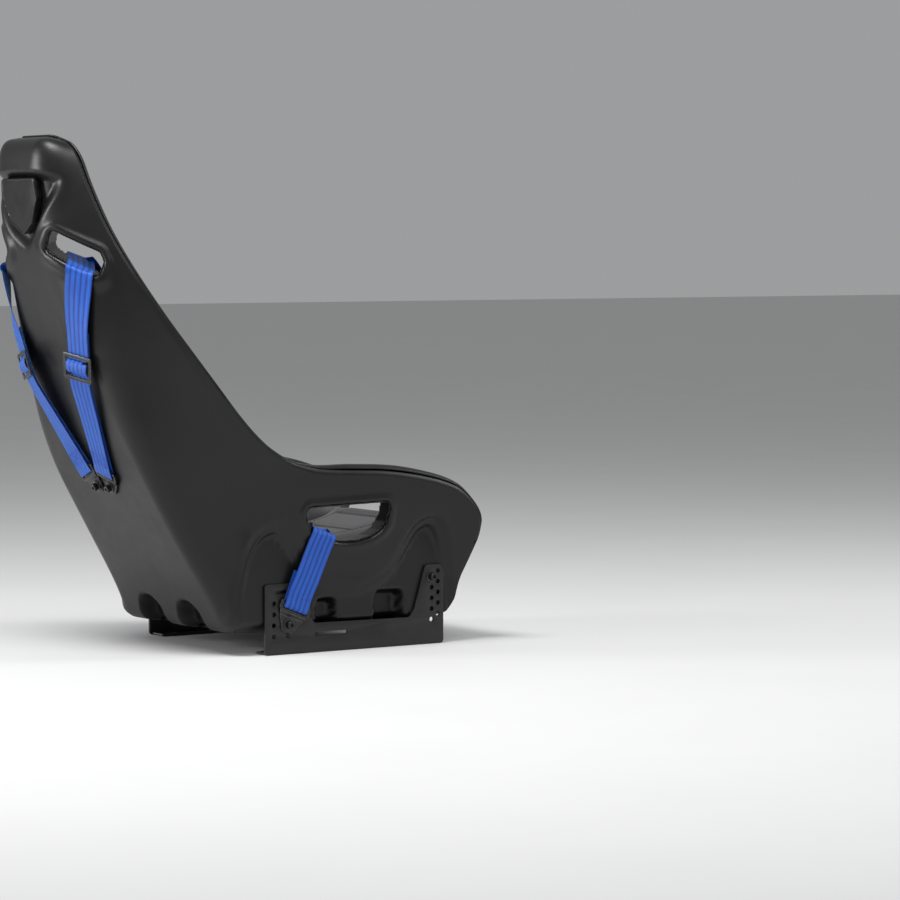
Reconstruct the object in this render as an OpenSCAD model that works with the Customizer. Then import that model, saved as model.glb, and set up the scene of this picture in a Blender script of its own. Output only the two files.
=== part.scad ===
// Racing bucket seat with side brackets, loose pads and a four-point harness.
// Units are millimetres. The seat faces -Y, the driver's left is +X, +Z is up.
// Z = 0 is the underside of the bracket flanges.

/* [Shell] */
// Thickness of each moulded skin
skin_t = 4; // [3:0.5:5]
// Width of the rolled rim between the outer and the inner skin
rim_w = 28; // [24:1:30]
// How far the rolled rim stands past the seam at the head
rim_bulge_head = 13; // [8:1:15]
// How far the rolled rim stands past the seam beside the waist
rim_bulge_waist = 5; // [4:1:8]
// How far the rolled rim stands past the seam over the thigh
rim_bulge_thigh = 13; // [8:1:15]
// Depth of the arched notches in the lower edge
notch_depth = 16; // [8:1:20]

/* [Brackets] */
// Distance between the outer faces of the two side plates
bracket_span = 410; // [408:1:414]
// Thickness of the folded steel plate
plate_t = 4; // [3:0.5:5]
// Length of a side plate, front to back
bracket_len = 368; // [364:1:372]
// Height of the front arm
front_arm_h = 140; // [136:1:150]
// Height of the rear arm
rear_arm_h = 122; // [118:1:130]
// Width of the inward flange
flange_w = 40; // [36:1:44]
// Diameter of the height and tilt holes
hole_d = 8.6; // [8.4:0.1:9]
// Pitch of the holes in each column
hole_pitch = 19; // [18:0.5:19]
// Sideways distance between the two rows of floor slots
floor_slot_x = 366; // [360:1:370]
// Front to back distance between the floor slots
floor_slot_y = 300; // [290:1:310]
// Width of a floor slot
floor_slot_w = 8.5; // [8.3:0.1:9]
// End to end length of a floor slot
floor_slot_l = 20; // [16:1:22]

/* [Fasteners] */
// Shank diameter of the seat bolts
bolt_d = 8; // [8:0.5:8.2]
// Head diameter of the seat bolts
bolt_head_d = 13; // [12:0.5:14]
// Head height of the seat bolts
bolt_head_h = 8; // [6:0.5:8]
// Outside diameter of the seat washers
washer_d = 20; // [18:1:22]
// Washer thickness
washer_t = 1.6; // [1.5:0.1:2]

/* [Harness] */
// Width of the webbing
web_w = 50; // [48:1:50]
// Thickness of the webbing
web_t = 2; // [1.6:0.1:2.2]
// Outside width of a rear slide
slide_w = 66; // [64:1:70]
// Outside height of a rear slide
slide_h = 46; // [44:1:48]
// Diameter of the buckle housing
buckle_d = 66; // [64:1:68]
// Height of the buckle base
buckle_h = 16.2; // [16.2:0.02:16.28]
// Reach of the knob's two grips
knob_d = 56; // [52:1:58]

/* [Pads] */
// Thickness of the seat cushion
seat_pad_t = 32; // [30:1:36]
// Thickness of the back cushion
back_pad_t = 28; // [24:1:30]
// Thickness of the head cushion
head_pad_t = 24; // [20:1:26]

/* [Hidden] */
eps = 0.01;

// ---- small helpers -------------------------------------------------------
function lerp(a, b, f) = a + (b - a) * f;
function unit(v) = v / norm(v);
function step01(v) = let (c = min(1, max(0, v))) c * c * (3 - 2 * c);
// quadratic B-spline over a list of control points, k runs 0 .. len - 1
function bs(c, k) = let (n = len(c), i = min(n - 1, max(0, round(k))), u = k - i + 0.5,
    p0 = c[max(0, i - 1)], p1 = c[i], p2 = c[min(n - 1, i + 1)],
    a = (i == 0) ? p1 : (p0 + p1) / 2, b = (i == n - 1) ? p1 : (p1 + p2) / 2,
    m = p1)
    (i == 0) ? lerp(lerp(m, m, 0), lerp(m, b, 1), max(0, 2 * (u - 0.5))) :
    (i == n - 1) ? lerp(a, m, min(1, 2 * u)) :
    (1 - u) * (1 - u) * a + 2 * u * (1 - u) * m + u * u * b;

module frame_at(o, xd, zd) {
    zz = unit(zd);
    xx = unit(xd - zz * (xd * zz));
    yy = cross(zz, xx);
    multmatrix([[xx[0], yy[0], zz[0], o[0]], [xx[1], yy[1], zz[1], o[1]],
        [xx[2], yy[2], zz[2], o[2]], [0, 0, 0, 1]]) children();
}

module right() { mirror([1, 0, 0]) children(); }

// ---- shell lines, each from the head (0) to the front lip (15) ------------
// outer skin down the middle of the back and along the underside: y, z
spine_o = [[362, 889], [394, 883], [402, 822], [389, 722], [356, 605], [316, 490], [262, 345],
    [185, 205], [112, 84], [97, 40], [62, 36], [-110, 36], [-300, 36], [-345, 50], [-374, 120],
    [-392, 172]];
// seam of the right and left rim: y, z, half width
rim_o = [[350, 885, 60], [342, 873, 106], [331, 806, 131], [304, 722, 158], [246, 605, 209],
    [165, 488, 243], [76, 378, 247], [8, 334, 241], [-40, 322, 240], [-70, 318, 240],
    [-100, 316, 240], [-215, 311, 240], [-335, 286, 239], [-376, 254, 237], [-399, 222, 234],
    [-398, 196, 226]];
// inner skin down the middle: y, z
spine_i = [[337, 880], [347, 855], [353, 800], [343, 715], [309, 605], [263, 490], [206, 360],
    [142, 262], [66, 180], [20, 152], [-30, 142], [-150, 142], [-280, 165], [-330, 182],
    [-362, 198], [-378, 206]];
// half width of the flat back or floor, and size of the corner to the side wall
flat_o = [[56, 8], [86, 32], [90, 46], [100, 60], [122, 64], [148, 42], [174, 24], [173, 26],
    [184, 28], [190, 28], [190, 28], [190, 28], [190, 28], [194, 28], [208, 20], [222, 8]];
flat_i = [[31, 8], [58, 28], [68, 40], [82, 50], [106, 60], [130, 66], [142, 70], [150, 72],
    [154, 72], [156, 72], [158, 72], [160, 70], [164, 60], [170, 40], [182, 20], [190, 14]];
last = 15;

function cornered(t, wb, rc, wr, d) = let (q = min(0.75, rc / max(d, 1)), r = min(rc, wb * 0.8))
    t < 0.4 ? [(wb - r) * t / 0.4, 0] :
    t < 0.72 ? let (u = (t - 0.4) / 0.32, a = [wb - r, 0], b = [wb, 0], c = [wb + (wr - wb) * q, q])
        (1 - u) * (1 - u) * a + 2 * u * (1 - u) * b + u * u * c :
    let (u = (t - 0.72) / 0.28) lerp([wb + (wr - wb) * q, q], [wr, 1], u);

function sect(k, t, sp, rim, fl) = let (s = bs(sp, k), r = bs(rim, k), f = bs(fl, k), a = abs(t),
    d = norm([r[0] - s[0], r[1] - s[1]]), c = cornered(a, f[0], f[1], r[2], d),
    sx = t < 0 ? -1 : 1) [sx * c[0], lerp(s[0], r[0], c[1]), lerp(s[1], r[1], c[1])];

// height of the flat mounting area's upper edge along the side, by y
side_edge = [[-400, 0], [-362, 0], [-355, 90], [-347, 170], [-328, 214], [-298, 226], [-268, 212],
    [-245, 178], [-214, 128], [-140, 104], [-90, 122], [-40, 168], [-16, 205], [8, 222], [30, 210],
    [50, 168], [66, 100], [76, 0], [100, 0]];
arch_y = [-89, -221];
arch_x = 68;
function arch(v, z, c, hw, h) = step01((1 - norm([(v - c) / hw, max(0, z - (h - hw)) / hw])) * 3 + 0.5)
    * (z < h + 8 ? 1 : 0);

function outer_pt(k, t) = let (p = sect(k, t, spine_o, rim_o, flat_o), ax = abs(p[0]),
    sx = p[0] < 0 ? -1 : 1, m = step01((lookup(p[1], side_edge) - p[2]) / 14 + 0.5),
    side = (ax > 170 && k > 6 && abs(t) > 0.5) ? 1 : 0,
    n1 = side * (arch(p[1], p[2], arch_y[0], 24, 92) + arch(p[1], p[2], arch_y[1], 30, 98)),
    face = bracket_span / 2 - plate_t - 0.7,
    x1 = side == 1 ? lerp(ax, lerp(min(ax, face), face, step01((p[2] - 40) / 20)), m) - notch_depth * n1 : ax,
    nr = (k > 6.5 && k < 9.6 && abs(t) < 0.5) ? arch(ax, p[2], arch_x, 38, 86) : 0,
    hollow = 7 * step01((k - 1.2) / 1.2) * step01((7 - k) / 3) * step01((100 - ax) / 70))
    [sx * x1, p[1] - notch_depth * nr * step01((p[2] - 20) / 8) - hollow, p[2]];
// edge of the inner skin; at the two ends it comes level with the middle
rim_i = [for (i = [0:15]) let (p = rim_o[i]) i == 0 ? [336, 880.5, 34] : i == 15 ? [-388, 203, 203] :
    [p[0] - 2, p[1] - 2, p[2] - rim_w]];
function inner_pt(k, t) = sect(k, t, spine_i, rim_i, flat_i);

function nrm(f, k, t) = let (dk = 0.04, dt = 0.012, k0 = max(0, k - dk), k1 = min(last, k + dk),
    t0 = max(-1, t - dt), t1 = min(1, t + dt),
    a = f == 0 ? outer_pt(k, t1) - outer_pt(k, t0) : inner_pt(k, t1) - inner_pt(k, t0),
    b = f == 0 ? outer_pt(k1, t) - outer_pt(k0, t) : inner_pt(k1, t) - inner_pt(k0, t))
    unit(cross(a, b));
function outer_off(k, t, h) = outer_pt(k, t) + h * nrm(0, k, t);
function inner_off(k, t, h) = inner_pt(k, t) + h * nrm(1, k, t);

// closed solid between two point grids of n rows and m columns
function quads(n, m, o, flip) = [for (i = [0:n - 2], j = [0:m - 2])
    let (a = o + i * m + j, b = a + 1, c = a + m + 1, d = a + m)
    each (flip ? [[a, b, c], [a, c, d]] : [[a, c, b], [a, d, c]])];
function edge_loop(n, m) = concat([for (j = [0:m - 2]) j], [for (i = [0:n - 2]) i * m + m - 1],
    [for (j = [m - 1:-1:1]) (n - 1) * m + j], [for (i = [n - 1:-1:1]) i * m]);
module between(a, b) {
    n = len(a);
    m = len(a[0]);
    e = edge_loop(n, m);
    pts = concat([for (r = a) each r], [for (r = b) each r]);
    polyhedron(pts, concat(quads(n, m, 0, true), quads(n, m, n * m, false),
        [for (q = [0:len(e) - 1]) let (u = e[q], v = e[(q + 1) % len(e)])
            each [[u, u + n * m, v], [v, u + n * m, v + n * m]]]), convexity = 10);
}
function grid(f, k0, k1, t0, t1, n, m, h) = [for (i = [0:n - 1]) [for (j = [0:m - 1])
    let (k = lerp(k0, k1, i / (n - 1)), t = lerp(t0, t1, j / (m - 1)))
    f == 0 ? outer_off(k, t, h) : inner_off(k, t, h)]];

// ---- moulded skins -------------------------------------------------------
rows_o = 48;
cols_o = 41;
module outer_skin() between(grid(0, 0, last, -1, 1, rows_o, cols_o, 0),
    grid(0, 0, last, -1, 1, rows_o, cols_o, -skin_t));

rows_i = 34;
cols_i = 27;
ring_n = 5;
function bulge_at(k) = k < 2.5 ? lerp(rim_bulge_head - 4, rim_bulge_head, step01(k / 1.5)) : k < 5.5 ? lerp(rim_bulge_head, rim_bulge_waist,
    step01((k - 2.5) / 3)) : k < 7.2 ? rim_bulge_waist : k < 10 ? lerp(rim_bulge_waist,
    rim_bulge_thigh, step01((k - 7.2) / 2.8)) : k < 11 ? rim_bulge_thigh :
    lerp(rim_bulge_thigh, 7, step01((k - 11) / 2));
// outward direction across the edge at a perimeter point given as k, t
function edge_dir(k, t) = let (s = bs(spine_o, k), r = bs(rim_o, k), b = bs(spine_i, k),
    side = abs(t) > 0.999 ? unit([0, r[0] - (s[0] + b[0]) / 2, r[1] - (s[1] + b[1]) / 2]) : [0, 0, 0],
    top = k < 0.001 ? [0, -0.1, 1] : [0, 0, 0], lip = k > last - 0.001 ? [0, -1, 0.5] : [0, 0, 0])
    unit(side * (k < 0.001 || k > last - 0.001 ? 0.4 : 1) + top + lip);
// how far the roll turns round before it meets the outer skin
function ring_end(k) = k > 13.4 ? 138 : k > 4 && k < 12.5 ? 146 : 160;
module inner_skin() {
    n = rows_i;
    m = cols_i;
    a = [for (r = grid(1, 0, last, -1, 1, n, m, 0)) each r];
    b = [for (r = grid(1, 0, last, -1, 1, n, m, skin_t)) each r];
    e = edge_loop(n, m);
    cnt = len(e);
    kt = [for (q = e) [last * floor(q / m) / (n - 1), -1 + 2 * (q % m) / (m - 1)]];
    mid = [for (q = kt) (outer_pt(q[0], q[1]) + inner_pt(q[0], q[1])) / 2];
    hv = [for (i = [0:cnt - 1]) inner_pt(kt[i][0], kt[i][1]) - mid[i]];
    raw = [for (q = kt) edge_dir(q[0], q[1])];
    // the direction turns gradually round the four corners
    dir = [for (i = [0:cnt - 1]) unit([1, 1, 1, 1, 1, 1, 1] * [for (j = [-3:3]) raw[(i + j + cnt) % cnt]])];
    ring = [for (r = [1:ring_n]) each [for (i = [0:cnt - 1]) let (ph = ring_end(kt[i][0]) * r / ring_n)
        mid[i] + hv[i] * cos(ph) + dir[i] * bulge_at(kt[i][0]) * sin(ph)]];
    ringb = [for (r = [1:ring_n]) each [for (i = [0:cnt - 1]) let (ph = ring_end(kt[i][0]) * r / ring_n,
        g = 1 - skin_t / norm(hv[i]))
        mid[i] + hv[i] * g * cos(ph) + dir[i] * max(1.5, bulge_at(kt[i][0]) - skin_t) * sin(ph)]];
    nm = n * m;
    // the offset grid's own edge is pulled onto the ring's inner start
    b2 = [for (q = [0:nm - 1]) let (w = search(q, e)) len(w) > 0 ?
        mid[w[0]] + hv[w[0]] * (1 - skin_t / norm(hv[w[0]])) : b[q]];
    pts = concat(a, ring, b2, ringb);
    o2 = nm + ring_n * cnt;
    function ia(r, i) = r == 0 ? e[i % cnt] : nm + (r - 1) * cnt + i % cnt;
    polyhedron(pts, concat(quads(n, m, 0, false), quads(n, m, o2, true),
        [for (r = [0:ring_n - 1], i = [0:cnt - 1]) let (p = ia(r, i), q = ia(r, i + 1),
            u = ia(r + 1, i), v = ia(r + 1, i + 1)) each [[p, q, u], [q, v, u]]],
        [for (r = [0:ring_n - 1], i = [0:cnt - 1]) let (p = ia(r, i) + o2, q = ia(r, i + 1) + o2,
            u = ia(r + 1, i) + o2, v = ia(r + 1, i + 1) + o2) each [[p, u, q], [q, u, v]]],
        [for (i = [0:cnt - 1]) let (p = ia(ring_n, i), q = ia(ring_n, i + 1))
            each [[p, q, p + o2], [q, q + o2, p + o2]]]), convexity = 10);
}

// ---- harness slots -------------------------------------------------------
// The left slots; the right ones mirror them
sh_c = [122, 357, 692];
sh_z = [0.70, 0.70, -0.12];
sh_x = [0.66, -0.66, -0.42];
module shoulder_outline() { offset(r = 12) polygon([[-41, -9], [38, -9], [45, -2], [45, 9], [-41, 9]]); }
module lap_outline() {
    offset(r = 12) polygon([[-74, 17], [74, 13], [70, -2], [30, -22], [-2, -28], [-40, -26],
        [-66, -10]]);
}
module shoulder_place() { frame_at(sh_c, sh_x, sh_z) children(); }
module lap_place() { translate([215, -122, 230]) rotate([90, 0, 90]) children(); }
module cut_shoulder(g) { shoulder_place() translate([0, 0, -110]) linear_extrude(150) offset(r = g) shoulder_outline(); }
module cut_lap(g) { lap_place() translate([0, 0, -60]) linear_extrude(120) offset(r = g) lap_outline(); }
module both() { children(); right() children(); }
module slot_cuts(g) { both() { cut_shoulder(g); cut_lap(g); } }

bezel_t = 5;
module ring_2d(kind) {
    difference() {
        offset(r = bezel_t) { if (kind == 0) shoulder_outline(); else lap_outline(); }
        if (kind == 0) shoulder_outline(); else lap_outline();
    }
}
// tunnel liner: a ring run between the skins, its ends cut to follow them
module bezel_left(kind) {
    if (kind == 0) shoulder_place() intersection() {
        translate([0, 0, -110]) linear_extrude(150) ring_2d(0);
        rotate([90, 0, 0]) linear_extrude(90, center = true) polygon([[-70, -12], [-40, -5], [0, -1], [30, 1],
            [70, 2], [70, -36], [40, -39], [0, -49], [-40, -68], [-70, -88]]);
    } else lap_place() intersection() {
        translate([0, 0, -80]) linear_extrude(120) ring_2d(1);
        rotate([90, 0, 90]) linear_extrude(230, center = true) polygon([[-60, 3], [60, 25], [60, -8],
            [20, -24], [-20, -38], [-60, -58]]);
    }
}
module shoulder_bezel_left() color([0.07, 0.07, 0.075]) bezel_left(0);
module shoulder_bezel_right() color([0.07, 0.07, 0.075]) right() bezel_left(0);
module lap_bezel_left() color([0.07, 0.07, 0.075]) bezel_left(1);
module lap_bezel_right() color([0.07, 0.07, 0.075]) right() bezel_left(1);

// ---- fixings through the shell --------------------------------------------
bf = [-309, 119];
br = [-12, 51];
anchor_x = 23.5;
anchor_z = 290;
function spine_y(z) = lookup(z, [[36, 96], [84, 112], [205, 185], [345, 262], [490, 316], [605, 356],
    [715, 389], [800, 398]]);
anchor_n = unit([0, 0.898, -0.4455]);
anchor_o = [anchor_x, spine_y(anchor_z) - 0.8, anchor_z];
module at_side_bolts() {
    for (p = [bf, br]) translate([bracket_span / 2 - plate_t, p[0], p[1]]) rotate([0, 90, 0]) children();
}
module at_anchor_bolts() { frame_at(anchor_o, [1, 0, 0], anchor_n) children(); }

module outer_shell() color([0.055, 0.055, 0.06]) difference() {
    outer_skin();
    slot_cuts(bezel_t + 0.2);
    both() {
        at_side_bolts() translate([0, 0, -30]) cylinder(r = 8.1, h = 60, $fn = 32);
        at_anchor_bolts() translate([0, 0, -30]) cylinder(r = 8.1, h = 60, $fn = 32);
    }
}
module inner_shell() color([0.075, 0.075, 0.08]) difference() {
    inner_skin();
    slot_cuts(bezel_t + 0.2);
}
module insert_one(reach) {
    difference() {
        union() {
            translate([0, 0, -22]) cylinder(r = 8, h = 21.95, $fn = 32);
            translate([0, 0, -reach]) cylinder(r = 11, h = reach - 0.05, $fn = 32);
        }
        translate([0, 0, -22.5]) cylinder(r = 4.05, h = 30, $fn = 32);
    }
}
module threaded_inserts() color([0.62, 0.55, 0.35]) both() {
    at_side_bolts() insert_one(0.6);
    at_anchor_bolts() translate([0, 0, 1.0]) insert_one(0.5);
}
module rear_badge() color([0.05, 0.05, 0.055]) {
    intersection() {
        between(grid(0, 1.5, 3.2, -0.66, 0.66, 11, 15, 3.6), grid(0, 1.5, 3.2, -0.66, 0.66, 11, 15, 1.1));
        translate([0, 480, 773]) rotate([90, 0, 0]) linear_extrude(200)
            offset(r = 8) polygon([[-52, 37], [52, 37], [56, 12], [34, -24], [0, -42], [-34, -24], [-56, 12]]);
    }
}

// ---- side brackets --------------------------------------------------------
b_rear = 34;
module plate_2d() {
    f = b_rear - bracket_len;
    offset(r = -6) offset(r = 12) offset(r = -6) polygon([[b_rear, 0], [b_rear, rear_arm_h],
        [-34, rear_arm_h], [-48, 72], [-66, 51], [-262, 49], [-272, 62], [-296, front_arm_h],
        [f, front_arm_h], [f, 0]]);
}
module side_holes() {
    for (i = [0:4]) if (i > 0 || true) translate([bf[0], bf[1] - hole_pitch * i]) circle(d = hole_d, $fn = 24);
    for (i = [0:4]) translate([bf[0] - 13, bf[1] + 10 - hole_pitch * i]) circle(d = hole_d, $fn = 24);
    for (i = [-1:2]) translate([br[0], br[1] + hole_pitch * i]) circle(d = hole_d, $fn = 24);
    for (i = [0:3]) translate([16, 32 + hole_pitch * i]) circle(d = hole_d, $fn = 24);
    translate([0, 108]) offset(r = 3) square([20, 0.1], center = true);
    translate([-99, 32]) offset(r = 3) square([62, 0.1], center = true);
}
module bracket_left() {
    o = bracket_span / 2;
    difference() {
        union() {
            translate([o - plate_t, 0, 0]) rotate([90, 0, 90]) linear_extrude(plate_t)
                difference() { plate_2d(); side_holes(); }
            translate([o - flange_w, b_rear - bracket_len + 6, 0]) cube([flange_w - 0.5, bracket_len - 12, plate_t]);
        }
        for (s = [-0.5, 0.5]) translate([floor_slot_x / 2, -150 + s * floor_slot_y, -1]) linear_extrude(10)
            union() {
                for (d = [-1, 1]) translate([d * (floor_slot_l - floor_slot_w) / 2, 0])
                    circle(d = floor_slot_w, $fn = 32);
                square([floor_slot_l - floor_slot_w, floor_slot_w], center = true);
            }
    }
}
module side_bracket_left() color([0.05, 0.05, 0.055]) bracket_left();
module side_bracket_right() color([0.05, 0.05, 0.055]) right() bracket_left();

module socket_bolt(len) {
    difference() {
        union() {
            translate([0, 0, -len]) cylinder(d = bolt_d - 0.1, h = len + eps, $fn = 32);
            cylinder(d = bolt_head_d, h = bolt_head_h - 0.8, $fn = 40);
            translate([0, 0, bolt_head_h - 0.8 - eps]) cylinder(d1 = bolt_head_d, d2 = bolt_head_d - 1.6, h = 0.8, $fn = 40);
        }
        translate([0, 0, bolt_head_h - 4]) cylinder(d = 6.9, h = 5, $fn = 6);
    }
}
module washer() difference() {
    cylinder(d = washer_d, h = washer_t, $fn = 40);
    translate([0, 0, -1]) cylinder(d = bolt_d + 0.4, h = washer_t + 2, $fn = 32);
}
lap_plate_t = 3;
module seat_bolts() color([0.04, 0.04, 0.045]) both() {
    translate([bracket_span / 2 + washer_t, bf[0], bf[1]]) rotate([0, 90, 0]) socket_bolt(24);
    translate([bracket_span / 2 + washer_t + lap_plate_t, br[0], br[1]]) rotate([0, 90, 0]) socket_bolt(26);
}
module seat_washers() color([0.1, 0.1, 0.11]) both() {
    translate([bracket_span / 2, bf[0], bf[1]]) rotate([0, 90, 0]) washer();
    translate([bracket_span / 2 + lap_plate_t, br[0], br[1]]) rotate([0, 90, 0]) washer();
}

// ---- harness ---------------------------------------------------------------
web_rgb = [0.05, 0.22, 0.7];
web_body = web_w - 1;
// flat band through a list of [centre, width direction]
module band(path, w, t) {
    n = len(path);
    tan = [for (i = [0:n - 1]) unit(path[min(n - 1, i + 1)][0] - path[max(0, i - 1)][0])];
    wd = [for (i = [0:n - 1]) let (v = path[i][1]) unit(v - tan[i] * (v * tan[i]))];
    nv = [for (i = [0:n - 1]) cross(wd[i], tan[i])];
    pts = [for (i = [0:n - 1]) each [for (c = [[-1, -1], [1, -1], [1, 1], [-1, 1]])
        path[i][0] + wd[i] * c[0] * w / 2 + nv[i] * c[1] * t / 2]];
    polyhedron(pts, concat([[0, 1, 2, 3]], [[4 * n - 1, 4 * n - 2, 4 * n - 3, 4 * n - 4]],
        [for (i = [0:n - 2], c = [0:3]) let (a = 4 * i + c, b = 4 * i + (c + 1) % 4)
            each [[a, a + 4, b], [b, a + 4, b + 4]]]), convexity = 6);
}
// smooth route through hand-set stations
function route(c, per) = let (n = len(c)) [for (i = [0:(n - 1) * per]) let (k = i / per)
    [bs([for (p = c) p[0]], k), bs([for (p = c) p[1]], k)]];

// bolt-in plate: flat round the bolt, stepped up to a bar that carries the webbing
plate_lift = 4;
module anchor_plate() {
    difference() {
        intersection() {
            translate([0, 0, -1]) linear_extrude(14) anchor_2d();
            rotate([90, 0, 90]) linear_extrude(90, center = true) polygon([[-20, 0], [14, 0],
                [14 + plate_lift * 1.4, plate_lift], [45, plate_lift], [45, plate_lift + 3],
                [13 + plate_lift * 1.4, plate_lift + 3], [12.6, 3], [-20, 3]]);
        }
        translate([0, 0, -1]) cylinder(d = 8.6, h = 12, $fn = 32);
        translate([0, 27, plate_lift - 1]) linear_extrude(6) square([web_w + 1, 8], center = true);
    }
}
module anchor_2d() { offset(r = 6) polygon([[-25, 33], [25, 33], [25, 27], [7, -7], [-7, -7], [-25, 27]]); }

fan = 18;
base_h = 1.1;
up_a = unit([sin(fan), 0.4455 * cos(fan), 0.898 * cos(fan)]);
wd_a = unit([cos(fan), -0.4455 * sin(fan), -0.898 * sin(fan)]);
function ap(u, w) = anchor_o + up_a * u + anchor_n * (w + base_h);
lap_turn = 21.5;
wd_l = [0, cos(lap_turn), sin(lap_turn)];
function lp(u, w) = [bracket_span / 2 + w, br[0] - sin(lap_turn) * u, br[1] + cos(lap_turn) * u];

module anchor_l() { frame_at(anchor_o + anchor_n * base_h, [1, 0, 0], anchor_n) rotate([0, 0, 180 + fan]) anchor_plate(); }
module shoulder_anchor_left() color([0.05, 0.05, 0.055]) anchor_l();
module shoulder_anchor_right() color([0.05, 0.05, 0.055]) right() anchor_l();
module anchor_bolts() color([0.04, 0.04, 0.045]) both()
    frame_at(anchor_o + anchor_n * (base_h + 3 + washer_t), [1, 0, 0], anchor_n) socket_bolt(26);
module anchor_washers() color([0.1, 0.1, 0.11]) both()
    frame_at(anchor_o + anchor_n * (base_h + 3), [1, 0, 0], anchor_n) washer();
module lap_anchor_l() { translate([bracket_span / 2, br[0], br[1]]) rotate([90, 0, 90]) rotate([0, 0, lap_turn]) anchor_plate(); }
module lap_anchor_left() color([0.05, 0.05, 0.055]) lap_anchor_l();
module lap_anchor_right() color([0.05, 0.05, 0.055]) right() lap_anchor_l();

// straight run behind the seat that carries the slide
slide_c = [95, 327, 500];
slide_d = unit([38, 27, 150]);
slide_w0 = [0.97, -0.25, 0];
slide_x = unit(slide_w0 - slide_d * (slide_d * slide_w0));
slide_n = cross(slide_d, slide_x);
function on_slide(u, h) = slide_c + slide_d * u + slide_n * h;

sz = unit(sh_z);
sx = unit(sh_x - sz * (sh_x * sz));
sy = cross(sz, sx);
function sq(u, v, w) = sh_c + sx * u + sy * v + sz * w;
function on_back(k, x, h) = let (p = inner_pt(k, 0), n = nrm(1, k, 0)) [x, p[1] - n[1] * h, p[2] - n[2] * h];

// release buckle lying on the seat cushion
buckle_c = [0, -126, 188];
tongue_z = 12;
web_z = buckle_c[2] + tongue_z + 5.6;
s_dir = unit([0.53, 0.85, 0]);
l_dir = unit([1, 0.12, 0]);
s_wid = [s_dir[1], -s_dir[0], 0];
l_wid = [l_dir[1], -l_dir[0], 0];
function run_s(r) = [buckle_c[0] + s_dir[0] * r, buckle_c[1] + s_dir[1] * r, web_z];
function run_l(r) = [buckle_c[0] + l_dir[0] * r, buckle_c[1] + l_dir[1] * r, web_z];
ride_h = back_pad_t + 11;

lip_w = [0.66, -0.66, -0.42];
out_w = [0.74, -0.66, -0.16];
function fall(f, h) = lerp(on_slide(-30, h), ap(60, h - 0.2), f);
function over_lip(f) = lerp(on_slide(60, 6.5), sq(30, 42, 8), f) + slide_n * 2;
strap_left = [[on_slide(64, 2.6), slide_x], [on_slide(30, 2.6), slide_x], [on_slide(0, 2.6), slide_x],
    [on_slide(-30, 2.6), slide_x], [fall(0.33, 2.6), lerp(slide_x, wd_a, 0.33)],
    [fall(0.67, 2.4), lerp(slide_x, wd_a, 0.67)],
    [ap(60, 2.2), wd_a], [ap(44, 2.2), wd_a], [ap(36, 2.2), wd_a], [ap(28.5, 2.2), wd_a], [ap(26.5, 3.5), wd_a],
    [ap(26.5, 7.5), wd_a], [ap(28.5, 8.8), wd_a], [ap(36, 8.8), wd_a], [ap(44, 8.8), wd_a], [ap(60, 8.4), wd_a],
    [fall(0.67, 7.4), lerp(slide_x, wd_a, 0.67)], [fall(0.33, 6.6), lerp(slide_x, wd_a, 0.33)],
    [on_slide(-30, 6), slide_x], [on_slide(0, 6), slide_x],
    [on_slide(40, 6), slide_x], [on_slide(60, 6.5), slide_x],
    [over_lip(0.3), lerp(slide_x, out_w, 0.3)], [over_lip(0.62), lerp(slide_x, out_w, 0.65)],
    [sq(30, 42, 8), out_w], [sq(27, 31, 9), lerp(lip_w, out_w, 0.6)],
    [sq(23, 20, 8), lip_w], [sq(21, 18.2, -4), lip_w],
    [sq(16, 18.2, -26), [0.66, -0.66, -0.42]], [sq(5, 17, -54), [0.7, -0.6, -0.38]],
    [sq(-4, 14, -76), [0.8, -0.5, -0.3]],
    [on_back(3.9, 86, ride_h), [0.95, -0.2, -0.1]], [on_back(4.3, 80, ride_h), [1, 0, 0]],
    [on_back(4.8, 77, ride_h), [1, 0, 0]], [on_back(5.4, 75, ride_h), [1, 0, 0]],
    [on_back(6, 75, ride_h), [1, 0, 0]], [on_back(6.6, 77, ride_h), [1, 0, 0]],
    [on_back(7.3, 84, ride_h + 2), [1, 0, 0]], [[92, 62, 222], [1, -0.2, 0]],
    [[86, 28, 204], [0.9, -0.4, 0]], [run_s(150), s_wid], [run_s(124), s_wid], [run_s(90), s_wid],
    [run_s(76), s_wid], [run_s(68), s_wid]];
module strap_l() { band(route(strap_left, 2), web_body, web_t); }
module shoulder_strap_left() color(web_rgb) strap_l();
module shoulder_strap_right() color(web_rgb) right() strap_l();

module slide_plate() {
    difference() {
        linear_extrude(3) offset(r = 4) square([slide_w - 8, slide_h - 8], center = true);
        for (s = [-1, 1]) translate([0, s * 11, -1]) linear_extrude(6) square([web_w + 4, 12], center = true);
    }
}
module slide_l() { frame_at(on_slide(0, 7.8), slide_x, slide_n) slide_plate(); }
module rear_slide_left() color([0.06, 0.06, 0.065]) slide_l();
module rear_slide_right() color([0.06, 0.06, 0.065]) right() slide_l();
// webbing turned over the middle bar
module fold_l() {
    frame_at(on_slide(0, 7.8), slide_x, slide_n) rotate([90, 0, 90]) translate([0, 0, -web_body / 2])
        linear_extrude(web_body) difference() {
            polygon([[-12, -0.3], [-10, 2.4], [-6.6, 5.6], [-3, 6.2], [3, 6.2], [6.6, 5.6], [10, 2.4], [12, -0.3]]);
            translate([-5.4, -1]) square([10.8, 4.4]);
        }
}
module slide_fold_left() color(web_rgb) fold_l();
module slide_fold_right() color(web_rgb) right() fold_l();

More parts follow.
